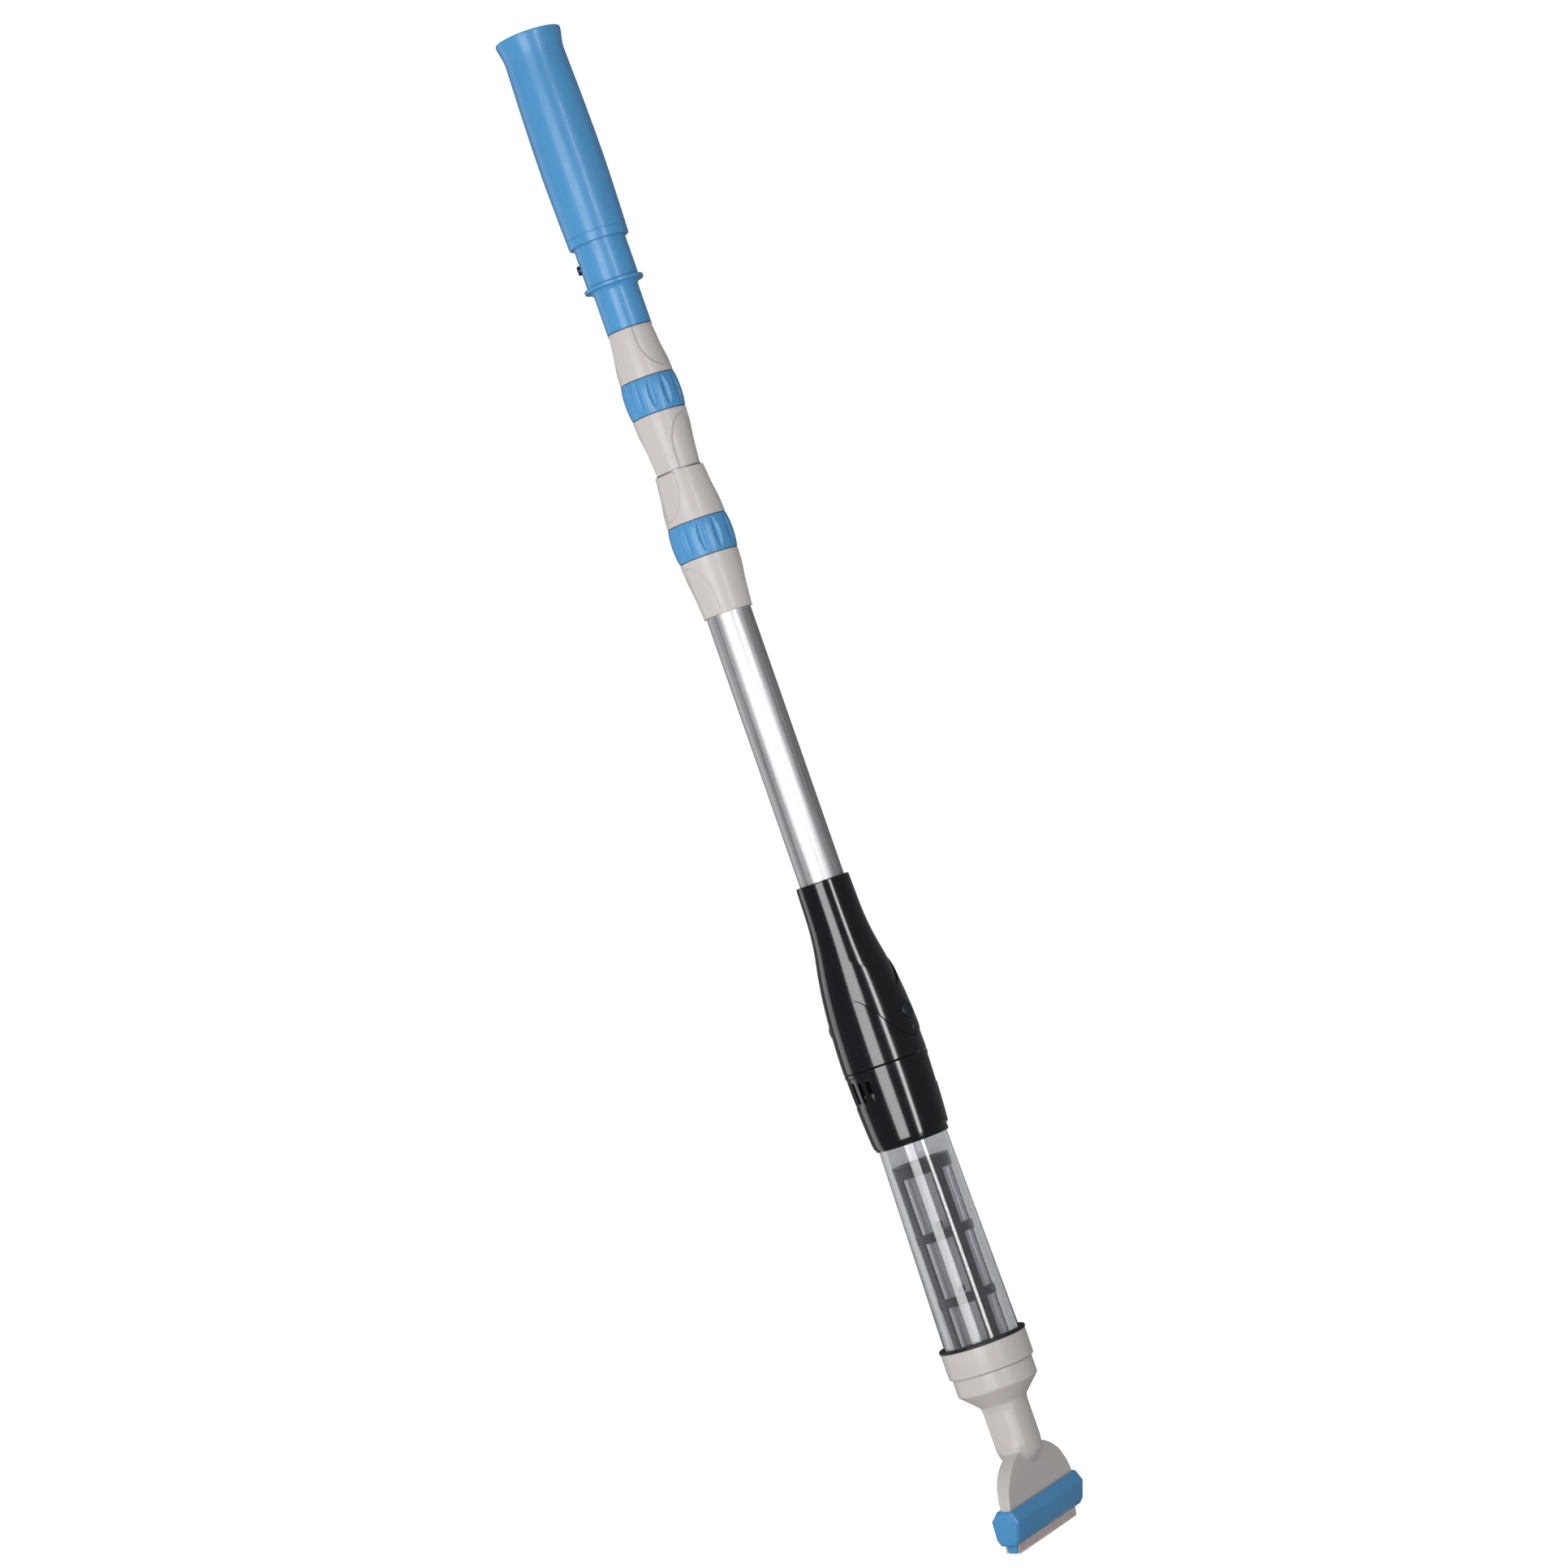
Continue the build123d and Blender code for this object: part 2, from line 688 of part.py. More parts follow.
def make_drive():
    """Battery, board, motor and impeller inside the housing."""
    ring_r = (cell_r + 0.1) * 2 / math.sqrt(3)
    cells = []
    for k in range(cell_count):
        body = rod(cell_r, z_cells, z_cell_top - 1)
        nub = rod(2.6, z_cell_top - 1, z_cell_top)
        cells.append(around(90 + k * 360 / cell_count, ring_r) * (body + nub))
    save("battery_cells", *cells)

    frame_r = ring_r + cell_r - 1.5
    deck = rod(frame_r, z_cells - 1.5, z_cells - 0.1)
    lid = rod(min(frame_r, housing_top_r - shell_wall), z_cell_top + 0.1, z_cell_top + 1.6)
    post_r = 0.9
    post = rod(post_r, z_cells - 0.5, z_cell_top + 0.5)
    save("battery_frame", deck + post + lid)

    board_low = z_motor + 10.0
    board_high = z_button + 8.0
    board = Box(16, board_thick, board_high - board_low)
    save(
        "circuit_board",
        Pos(0, switch_back_y + board_thick / 2 + 0.1, (board_low + board_high) / 2) * board,
    )

    bulkhead_r = housing_r(z_seam) - shell_wall - 0.3
    bulkhead = rod(bulkhead_r, z_seam - 3.8, z_seam - 0.8)
    well = tube(motor_r + slip + 1.2, motor_r + slip, z_seam - 1.0, z_motor + 8)
    floor = rod(motor_r + slip + 1.2, z_seam - 1.0, z_motor - 0.1)
    seal_seat = rod(4.0 + slip, z_seam - 2.4, z_motor)
    shaft_way = rod(shaft_r + 0.4, z_seam - 5, z_motor)
    save("motor_bulkhead", bulkhead + well + floor - seal_seat - shaft_way)
    save("shaft_seal", tube(4.0, shaft_r + run, z_seam - 2.3, z_seam + 1.2))

    can = rod(motor_r, z_motor, z_motor + motor_length)
    can = fillet(can.edges().filter_by(GeomType.CIRCLE), 1.0)
    boss = rod(3.0, z_motor + motor_length - 0.5, z_motor + motor_length + 1.2)
    save("motor", can + boss - rod(shaft_r + run, z_motor - 1, z_motor + 20))

    z_impeller = z_volute + 3.2
    shaft = rod(shaft_r, z_impeller - 0.6, z_motor + 18)
    hub = tube(4.0, shaft_r + slip, z_impeller, z_impeller + impeller_height - 2)
    plate_z = z_impeller + impeller_height - 2
    plate = tube(impeller_r, shaft_r + slip, plate_z - 1.6, plate_z)
    wheel = hub + plate
    blade_arc = ThreePointArc((3.4, 0), (impeller_r * 0.6, 3.2), (impeller_r - 0.4, -1.5))
    blade = extrude(make_face(
        Curve(children=[
            blade_arc,
            Line((impeller_r - 0.4, -1.5), (impeller_r - 0.4, -2.7)),
            ThreePointArc((impeller_r - 0.4, -2.7), (impeller_r * 0.6, 2.0), (3.4, -1.2)),
            Line((3.4, -1.2), (3.4, 0)),
        ])
    ), impeller_height - 3)
    for k in range(blade_count):
        wheel = wheel + Rot(Z=k * 360 / blade_count) * Pos(0, 0, z_impeller) * blade
    save("impeller", wheel)
    save("motor_shaft", shaft)

    grille_r = eye_r - slip
    grille = tube(grille_r, grille_r - 1.2, z_volute + 0.1, z_volute + 1.6)
    for turn in (0, 90):
        grille = grille + Rot(Z=turn) * Pos(0, 0, z_volute + 0.85) * Box(
            2 * grille_r - 1, 1.2, 1.5
        )
    save("inlet_grille", grille)


def make_housing():
    save("housing_upper", make_housing_upper())
    save("switch_pad", make_switch_pad())
    save("housing_lower", make_housing_lower())
    make_switch()
    make_jack()
    make_drive()

    seat_r = housing_r(z_seam) - shell_wall / 2
    screws = []
    tip = outer_r - tube_wall + 0.3
    for up in screw_up:
        seat = housing_r(z_socket + up) - screw_sink + 0.75
        head = Cylinder(screw_head_r, 1.4)
        stem = Pos(0, 0, (tip - seat - 0.6) / 2) * Cylinder(screw_r, seat - 0.6 - tip)
        socket = Pos(0, 0, 0.5) * Box(0.8, 3.4, 1.0)
        screws.append(
            Pos(0, seat, z_socket + up) * Rot(X=-90) * (head + stem - socket)
        )
    save("tube_screws", *screws)
    gasket_r = seat_r - 0.1
    gasket = tube(gasket_r, gasket_r - 1.2, z_seam - 5.3, z_seam - 4.1)
    save("housing_gasket", gasket)


# ---------------------------------------------------------------- chamber and filter
def chamber_r(z):
    """The clear chamber's outer radius, which grows downwards."""
    share = (z_rim - z) / chamber_shown
    return chamber_top_r + (chamber_foot_r - chamber_top_r) * share


def make_chamber():
    z_low = z_chamber - chamber_sink
    z_high = z_rim + coupling_height - 8
    low_r, high_r = chamber_r(z_low), chamber_r(z_rim)
    save(
        "debris_chamber",
        turned_points(
            (low_r - chamber_wall, z_low),
            (low_r, z_low),
            (high_r, z_rim),
            (high_r, z_high),
            (high_r - chamber_wall, z_high),
            (high_r - chamber_wall, z_rim),
        ),
    )
    ring_out = chamber_top_r + slip + coupling_wall
    ring = tube(ring_out, chamber_top_r + slip, z_rim, z_high + slip)
    top_ring = z_rim + coupling_height
    ring = ring + tube(ring_out, chamber_top_r - chamber_wall, z_high + slip, top_ring)
    z_lug = z_rim + coupling_height - 6
    for side in (90, 270):
        ring = ring + sector(
            ring_out + lug_reach, ring_out - 0.4, z_lug, z_lug + lug_height, side, lug_angle
        )
    save("coupling_ring", ring)
    save(
        "coupling_gasket",
        tube(ring_out - 0.3, ring_out - 2.3, top_ring, top_ring + 1.6),
    )


def make_filter():
    z_low = z_seal - 1.0
    z_high = z_low + cage_height
    inner = cage_r - cage_wall
    flange = tube(cage_flange_r, inner, z_low, z_low + cage_flange_thick)
    cage = flange
    bands = [z_high - cage_band]
    pitch = (z_high - cage_band - z_low) / 2.68
    bands += [z_high - cage_band - pitch, z_high - cage_band - 2 * pitch]
    for k, z in enumerate(bands):
        height = cage_band if k == 0 else cage_band * 0.86
        cage = cage + tube(cage_r, inner, z, z + height)
    half_angle = math.degrees(cage_rib / cage_r)
    for k in range(4):
        cage = cage + sector(
            cage_r - 0.3, inner, z_low + 1, z_high - 1, cage_turn + 90 * k, half_angle
        )
    cage = cage + rod(cage_r, z_high, z_high + 1.4)
    cap_hole = rod(inner - 3, z_high - 1, z_high + 2)
    spokes = Pos(0, 0, z_high + 0.7) * (Box(2 * inner - 2, 2, 1.4) + Box(2, 2 * inner - 2, 1.4))
    cage = cage - cap_hole + spokes
    save("filter_cage", cage)

    sleeve_r = inner - slip
    sleeve = tube(sleeve_r, sleeve_r - screen_thick, z_low + 0.5, z_high - 0.5)
    lid = rod(sleeve_r, z_high - 0.5, z_high - 0.1)
    save("filter_screen", sleeve + lid)

    studs = []
    for z in bands[1:]:
        stud = Cylinder(stud_r, 1.2)
        stud = fillet(stud.edges().sort_by(Axis.Z)[-1], 0.4)
        place = around(stud_turn, sleeve_r + 0.65, z + cage_band * 0.86 + 3.4)
        studs.append(place * Rot(Y=90) * stud)
    save("screen_studs", *studs)


# ---------------------------------------------------------------- nozzle
def fan_blank(inset, thick_top, thick_mouth):
    """The flat fan between neck and bend: a curved outline, thinner towards the mouth."""
    z_start = z_neck + 1.5 - inset
    half = fan_half_width - inset
    start = neck_r - 1 - inset
    outline = [
        Line((start, z_start), (-start, z_start)),
        ThreePointArc((-start, z_start), (-half * 0.77, z_bend + 16.5), (-half, z_bend)),
        Line((-half, z_bend), (half, z_bend)),
        ThreePointArc((half, z_bend), (half * 0.77, z_bend + 16.5), (start, z_start)),
    ]
    plate = extrude(make_face(Plane.XZ * Curve(children=outline)), neck_r, both=True)
    half_top, half_low = thick_top / 2, thick_mouth / 2
    z_even = z_bend + 16
    wedge = make_face(
        Plane.YZ
        * Polyline(
            (-half_low, z_bend),
            (half_low, z_bend),
            (half_top, z_even),
            (half_top, z_start),
            (-half_top, z_start),
            (-half_top, z_even),
            close=True,
        )
    )
    return Pos(0, fan_offset, 0) * (plate & extrude(wedge, 2 * fan_half_width, both=True))


def mouth_blank(inset, end_up):
    """The tilted lip below the bend, down to end_up above the hood's middle."""
    thick = mouth_thick - 2 * inset
    width = 2 * (fan_half_width - inset)
    height = 2 * hood_height
    block = hood_place * Pos(0, 0, end_up + height / 2) * Box(width, thick, height)
    reach = 4 * fan_half_width
    return block & (Pos(0, 0, z_bend - reach / 2) * Box(reach, reach, reach))


def make_nozzle():
    z_deck = z_seal - 1.3
    low_r = chamber_r(z_chamber - chamber_sink) - chamber_wall - gap
    body = turned_points(
        (0, z_neck + 6),
        (neck_r, z_neck + 6),
        (neck_r, z_cone),
        (band_r, z_band),
        (band_r, z_collar),
        (low_r, z_collar),
        (low_r, z_deck),
        (0, z_deck),
    )
    end_up = hood_height / 2 - pocket_depth + 1.0
    body = body + Pos(0, 0, z_neck + 6) * Sphere(neck_r)
    body = body + fan_blank(0, fan_top_thick, mouth_thick) + mouth_blank(0, end_up)
    # the duct: mouth, fan, neck, and the valve pocket under the deck
    flap_r = neck_bore_r + flap_lap
    z_flap = z_cone + 8
    duct = rod(neck_bore_r, z_neck + 6, z_deck + 1)
    duct = duct + Pos(0, 0, z_neck + 6) * Sphere(neck_bore_r)
    duct = duct + fan_blank(
        mouth_wall + 0.6, fan_top_thick - 2 * mouth_wall - 0.6, mouth_thick - 2 * mouth_wall
    )
    duct = duct + mouth_blank(mouth_wall, end_up - 1)
    pocket = rod(cage_r - cage_wall - 0.4, z_flap, z_deck + 1)
    groove = tube(low_r + 1, low_r - 1.3, z_deck - 6, z_deck - 4)
    pin_way = Pos(0, flap_r - 0.6, z_flap + 1.6) * Rot(Y=90) * Cylinder(pin_r + slip, 15)
    save("nozzle_body", body - duct - pocket - groove - pin_way)

    save(
        "nozzle_o_ring",
        tube(
            chamber_r(z_deck - 4) - chamber_wall - run, low_r - 1.25, z_deck - 5.9, z_deck - 4.1
        ),
    )

    pin = Pos(0, flap_r - 0.6, z_flap + 1.6) * Rot(Y=90) * Cylinder(pin_r, 14.6)
    save("valve_pin", pin)
    disc = rod(flap_r - 0.4, z_flap + 0.1, z_flap + 0.1 + flap_thick)
    trim = Pos(0, flap_r + 7.4, z_flap) * Box(40, 16, 12)
    knuckle = Pos(0, flap_r - 0.6, z_flap + 1.6) * Rot(Y=90) * Cylinder(knuckle_r, 7)
    flap = disc - trim + knuckle & rod(cage_r - cage_wall - 0.8, z_flap + 0.1, z_flap + 12)
    bore = Pos(0, flap_r - 0.6, z_flap + 1.6) * Rot(Y=90) * Cylinder(pin_r + run, 20)
    save("valve_flap", flap - bore)

    collar_bore = chamber_foot_r + 0.5
    collar = turned_points(
        (collar_bore, z_collar + 0.15),
        (collar_ring_r - 0.6, z_collar + 0.15),
        (collar_ring_r - 0.1, z_collar + 0.8),
        (collar_ring_r, z_seal),
        (collar_bore, z_seal),
    )
    foot = tube(collar_ring_r - 1.5, low_r + slip, z_collar + 0.15, z_collar + 3)
    save("nozzle_collar", collar + foot)
    seal = turned_points(
        (collar_bore, z_seal),
        (seal_r - 0.4, z_seal),
        (seal_r, z_seal + 0.4),
        (seal_r, z_seal + seal_thick - 0.5),
        (seal_r - 0.5, z_seal + seal_thick),
        (collar_bore, z_seal + seal_thick),
    )
    save("seal_ring", seal)


# ---------------------------------------------------------------- brush head
def make_brush():
    half_up = hood_height / 2
    section = Plane.YZ * make_face(
        Polyline(
            (-hood_top_half, half_up),
            (-hood_waist_half, hood_waist_up),
            (-hood_knee_half, hood_knee_up),
            (-hood_foot_half, -half_up),
            (hood_foot_half, -half_up),
            (hood_knee_half, hood_knee_up),
            (hood_waist_half, hood_waist_up),
            (hood_top_half, half_up),
            close=True,
        )
    )
    hood = extrude(section, hood_length / 2, both=True)
    hood = chamfer(hood.faces().sort_by(Axis.X)[0].edges(), 1.2)
    hood = chamfer(hood.faces().sort_by(Axis.X)[-1].edges(), 1.2)
    pocket_len = 2 * fan_half_width + 0.8
    pocket = Pos(0, 0, half_up - pocket_depth / 2 + 0.5) * Box(
        pocket_len, mouth_thick + 0.6, pocket_depth + 1
    )
    slot_len = bristle_length - 2 * block_length
    slot_half = strip_centre - bristle_thick / 2 - 0.4
    slot = Pos(0, 0, -half_up / 2) * Box(slot_len, 2 * slot_half, hood_height)
    hood = hood - pocket - slot
    strips = []
    for side in (-1, 1):
        root = Pos(0, side * strip_centre, -half_up + bristle_root / 2) * Box(
            bristle_length + 0.1, bristle_thick + 0.1, bristle_root + 0.02
        )
        hood = hood - root
        strips.append(
            Pos(0, side * strip_centre, -half_up + (bristle_root - bristle_reach) / 2)
            * Box(bristle_length, bristle_thick, bristle_reach + bristle_root - 0.1)
        )
    save("brush_hood", hood_place * hood)
    save("front_bristles", hood_place * strips[0])
    save("rear_bristles", hood_place * strips[1])
    blocks = []
    for side in (-1, 1):
        block = Box(block_length, 2 * slot_half, bristle_reach - 0.2)
        block = fillet(block.edges().filter_by(Axis.Z), 0.8)
        x = side * (bristle_length / 2 - block_length / 2)
        blocks.append(hood_place * Pos(x, 0, -half_up - (bristle_reach - 0.2) / 2) * block)
    save("end_blocks", *blocks)


os.makedirs("parts", exist_ok=True)
make_pole()
make_adapter()
make_snap()
make_grip()
make_housing()
make_chamber()
make_filter()
make_nozzle()
make_brush()
print("height", round(z_top, 1))
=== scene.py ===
import math

import bpy
from mathutils import Matrix, Vector


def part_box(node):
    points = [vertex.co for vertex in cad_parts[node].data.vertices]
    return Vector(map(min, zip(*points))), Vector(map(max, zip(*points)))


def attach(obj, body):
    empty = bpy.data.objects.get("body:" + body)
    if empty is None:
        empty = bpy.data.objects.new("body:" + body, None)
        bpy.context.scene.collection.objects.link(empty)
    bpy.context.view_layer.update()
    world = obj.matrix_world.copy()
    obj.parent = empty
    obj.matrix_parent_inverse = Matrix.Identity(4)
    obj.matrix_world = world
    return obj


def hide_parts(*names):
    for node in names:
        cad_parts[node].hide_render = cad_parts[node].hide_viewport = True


bl_info = {
    "name": "Cordless pool vacuum",
    "version": (1, 0, 0),
    "blender": (4, 5, 0),
    "location": "View3D > Sidebar > Pool Vacuum",
    "description": "Models the visible pieces of a cordless pool vacuum round its fixed frame",
    "category": "Object",
}

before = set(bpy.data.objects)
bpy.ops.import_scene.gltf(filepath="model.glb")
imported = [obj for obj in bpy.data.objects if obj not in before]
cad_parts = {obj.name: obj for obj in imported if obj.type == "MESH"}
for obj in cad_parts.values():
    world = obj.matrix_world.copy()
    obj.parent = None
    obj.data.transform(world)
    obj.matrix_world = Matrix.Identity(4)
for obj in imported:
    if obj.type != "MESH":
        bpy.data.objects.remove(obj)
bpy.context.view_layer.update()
MM = 0.001

SLIP = 0.05 * MM  # gap between pieces that fit in each other
TUBE_R = {"lower": 0.01430, "upper": 0.01270}  # the tube that each twist lock sits on
SNAP_TURN = math.radians(120)  # direction of the snap button
SCREW_UP = (8.0 * MM, 20.0 * MM)  # heights of the two tube screws above the socket's floor


# ---------------------------------------------------------------- settings
class VacuumColours(bpy.types.PropertyGroup):
    """Base colours of the finishes."""

    blue: bpy.props.FloatVectorProperty(
        name="Blue plastic", description="Handle, twist rings and brush hood",
        subtype="COLOR", size=3, min=0, max=1, default=(0.072, 0.302, 0.600),
    )
    grey: bpy.props.FloatVectorProperty(
        name="Grey plastic", description="Lock shells and nozzle",
        subtype="COLOR", size=3, min=0, max=1, default=(0.588, 0.553, 0.539),
    )
    black: bpy.props.FloatVectorProperty(
        name="Black plastic", description="Motor and battery housing",
        subtype="COLOR", size=3, min=0, max=1, default=(0.0030, 0.0032, 0.0065),
    )
    cage: bpy.props.FloatVectorProperty(
        name="Cage plastic", description="Filter cage, button and other dark mouldings",
        subtype="COLOR", size=3, min=0, max=1, default=(0.014, 0.017, 0.028),
    )
    clear: bpy.props.FloatVectorProperty(
        name="Clear plastic", description="Tint of the debris chamber",
        subtype="COLOR", size=3, min=0, max=1, default=(0.585, 0.590, 0.610),
    )
    aluminium: bpy.props.FloatVectorProperty(
        name="Aluminium", description="Telescopic tubes",
        subtype="COLOR", size=3, min=0, max=1, default=(0.82, 0.82, 0.84),
    )
    front_bristle: bpy.props.FloatVectorProperty(
        name="Front bristles", description="Strip under the front edge of the hood",
        subtype="COLOR", size=3, min=0, max=1, default=(0.70, 0.62, 0.60),
    )
    rear_bristle: bpy.props.FloatVectorProperty(
        name="Rear bristles", description="Strip under the back edge of the hood",
        subtype="COLOR", size=3, min=0, max=1, default=(0.82, 0.80, 0.77),
    )


class VacuumSizes(bpy.types.PropertyGroup):
    """Sizes of the detail that the frame leaves plain."""

    edge: bpy.props.FloatProperty(
        name="Edge rounding", description="Radius on moulded edges",
        unit="LENGTH", default=0.0007, min=0.0001, max=0.002,
    )
    scoop_depth: bpy.props.FloatProperty(
        name="Scoop depth", description="Depth of the thumb scoops in the lock shells",
        unit="LENGTH", default=0.0009, min=0, max=0.002,
    )
    scoop_half_width: bpy.props.FloatProperty(
        name="Scoop half width", description="Half the width of a thumb scoop round the shell",
        unit="LENGTH", default=0.0158, min=0.004, max=0.02,
    )
    flute_depth: bpy.props.FloatProperty(
        name="Flute depth", description="Depth of the finger flutes in the twist rings",
        unit="LENGTH", default=0.0015, min=0, max=0.002,
    )
    flutes: bpy.props.IntProperty(
        name="Flutes", description="Finger flutes round a twist ring", default=12, min=4, max=24,
    )
    wire: bpy.props.FloatProperty(
        name="Mesh wire", description="Diameter of the filter screen's wires",
        unit="LENGTH", default=0.00034, min=0.0001, max=0.0008,
    )
    wire_pitch: bpy.props.FloatProperty(
        name="Mesh pitch", description="Distance between the filter screen's wires",
        unit="LENGTH", default=0.00100, min=0.0006, max=0.003,
    )
    bristle: bpy.props.FloatProperty(
        name="Bristle", description="Diameter of one bristle",
        unit="LENGTH", default=0.00042, min=0.0002, max=0.001,
    )
    mouth_tilt: bpy.props.FloatProperty(
        name="Mouth tilt", description="Lean of the brush head towards the front",
        subtype="ANGLE", default=math.radians(12.0),
    )


class VacuumStage(bpy.types.PropertyGroup):
    """Camera and light."""

    lens: bpy.props.FloatProperty(
        name="Lens", description="Focal length in millimetres", default=102.9, min=20, max=300,
    )
    distance: bpy.props.FloatProperty(
        name="Distance", description="From the camera to the pole",
        unit="LENGTH", default=2.76, min=1, max=10,
    )
    azimuth: bpy.props.FloatProperty(
        name="Azimuth", description="Direction the camera stands in, seen from the pole",
        subtype="ANGLE", default=math.radians(-150.0),
    )
    height: bpy.props.FloatProperty(
        name="Height", description="Camera above the floor", unit="LENGTH", default=0.436,
    )
    aim: bpy.props.FloatProperty(
        name="Aim", description="Height the camera looks at", unit="LENGTH", default=0.4885,
    )
    sideways: bpy.props.FloatProperty(
        name="Sideways", description="How far beside the pole the camera looks",
        unit="LENGTH", default=-0.0025,
    )
    roll: bpy.props.FloatProperty(
        name="Roll", description="Lean of the picture", subtype="ANGLE",
        default=math.radians(19.24),
    )


# ---------------------------------------------------------------- finishes
def new_material(name):
    """A material with nothing but a Principled shader."""
    material = bpy.data.materials.get(name) or bpy.data.materials.new(name)
    material.use_nodes = True
    tree = material.node_tree
    tree.nodes.clear()
    out = tree.nodes.new("ShaderNodeOutputMaterial")
    shader = tree.nodes.new("ShaderNodeBsdfPrincipled")
    tree.links.new(shader.outputs["BSDF"], out.inputs["Surface"])
    return material, tree, shader


def pattern(tree, scale, detail=3.0, rough=0.5, stretch=(1, 1, 1)):
    """A noise on the piece's own coordinates, stretched along its axes."""
    place = tree.nodes.new("ShaderNodeTexCoord")
    mapping = tree.nodes.new("ShaderNodeMapping")
    mapping.inputs["Scale"].default_value = stretch
    noise = tree.nodes.new("ShaderNodeTexNoise")
    noise.inputs["Scale"].default_value = scale
    noise.inputs["Detail"].default_value = detail
    noise.inputs["Roughness"].default_value = rough
    tree.links.new(place.outputs["Object"], mapping.inputs["Vector"])
    tree.links.new(mapping.outputs["Vector"], noise.inputs["Vector"])
    return noise.outputs["Fac"]


def spread(tree, value, low, high, start=0.35, end=0.65):
    """Maps a pattern to the range low to high."""
    node = tree.nodes.new("ShaderNodeMapRange")
    node.inputs["From Min"].default_value = start
    node.inputs["From Max"].default_value = end
    node.inputs["To Min"].default_value = low
    node.inputs["To Max"].default_value = high
    tree.links.new(value, node.inputs["Value"])
    return node.outputs["Result"]


def tint(tree, value, colour, low, high):
    """The colour darkened or lightened by a pattern."""
    node = tree.nodes.new("ShaderNodeMix")
    node.data_type = "RGBA"
    node.inputs["A"].default_value = (*[c * low for c in colour], 1)
    node.inputs["B"].default_value = (*[min(1, c * high) for c in colour], 1)
    tree.links.new(value, node.inputs["Factor"])
    return node.outputs["Result"]


def raise_by(tree, shader, value, distance, strength):
    """Bumps the surface by a pattern."""
    bump = tree.nodes.new("ShaderNodeBump")
    bump.inputs["Distance"].default_value = distance
    bump.inputs["Strength"].default_value = strength
    tree.links.new(value, bump.inputs["Height"])
    tree.links.new(bump.outputs["Normal"], shader.inputs["Normal"])


def moulded(name, colour, rough, grain=0.25, gloss=0.0, drift=0.05):
    """Injection-moulded plastic: faint flow marks in the colour, fine grain, uneven polish."""
    material, tree, shader = new_material(name)
    flow = spread(tree, pattern(tree, 28, 4, 0.6, (1, 1, 0.35)), 0, 1)
    colours = tint(tree, flow, colour, 1 - drift, 1 + drift)
    tree.links.new(colours, shader.inputs["Base Color"])
    polish = spread(tree, pattern(tree, 140, 5, 0.65), rough * 0.82, rough * 1.2)
    tree.links.new(polish, shader.inputs["Roughness"])
    raise_by(tree, shader, pattern(tree, 1500, 3, 0.6), 0.00003, grain)
    shader.inputs["IOR"].default_value = 1.5
    shader.inputs["Coat Weight"].default_value = gloss
    shader.inputs["Coat Roughness"].default_value = 0.11
    return material


def drawn_metal(name, colour, rough, streak=900, grain=0.5):
    """Drawn and lightly brushed metal: fine streaks that run along the pole."""
    material, tree, shader = new_material(name)
    lines = pattern(tree, streak, 4, 0.7, (1, 1, 0.012))
    tree.links.new(
        tint(tree, spread(tree, lines, 0, 1), colour, 0.93, 1.05), shader.inputs["Base Color"]
    )
    polish = spread(tree, lines, rough * 0.8, rough * 1.25)
    tree.links.new(polish, shader.inputs["Roughness"])
    raise_by(tree, shader, lines, 0.00002, grain)
    shader.inputs["Metallic"].default_value = 1.0
    return material


def clear_plastic(name, colour):
    """Smoky clear plastic with faint flow waves and hairline scuffs."""
    material, tree, shader = new_material(name)
    waves = pattern(tree, 34, 2, 0.4, (1, 1, 0.3))
    tree.links.new(
        tint(tree, spread(tree, waves, 0, 1), colour, 0.985, 1.01), shader.inputs["Base Color"]
    )
    scuffs = spread(tree, pattern(tree, 420, 6, 0.8, (1, 1, 0.08)), 0.02, 0.07)
    tree.links.new(scuffs, shader.inputs["Roughness"])
    raise_by(tree, shader, waves, 0.0001, 0.03)
    shader.inputs["Transmission Weight"].default_value = 1.0
    shader.inputs["Coat Weight"].default_value = 0.7
    shader.inputs["IOR"].default_value = 1.49
    return material


def soft_rubber(name, colour, rough=0.42):
    """Rubber with a matt bloom in places."""
    material, tree, shader = new_material(name)
    bloom = spread(tree, pattern(tree, 90, 5, 0.7), 0, 1)
    tree.links.new(tint(tree, bloom, colour, 0.8, 1.5), shader.inputs["Base Color"])
    tree.links.new(spread(tree, bloom, rough * 0.9, rough * 1.3, 0, 1), shader.inputs["Roughness"])
    raise_by(tree, shader, pattern(tree, 2200, 3), 0.00003, 0.3)
    return material


def bristle_plastic(name, colour):
    """Slightly translucent nylon, in lighter and darker clumps."""
    material, tree, shader = new_material(name)
    clumps = spread(tree, pattern(tree, 900, 3, 0.6, (1, 0.4, 0.1)), 0, 1)
    tree.links.new(tint(tree, clumps, colour, 0.82, 1.08), shader.inputs["Base Color"])
    tree.links.new(spread(tree, clumps, 0.32, 0.5, 0, 1), shader.inputs["Roughness"])
    shader.inputs["Subsurface Weight"].default_value = 0.15
    shader.inputs["Subsurface Scale"].default_value = 0.0006
    return material


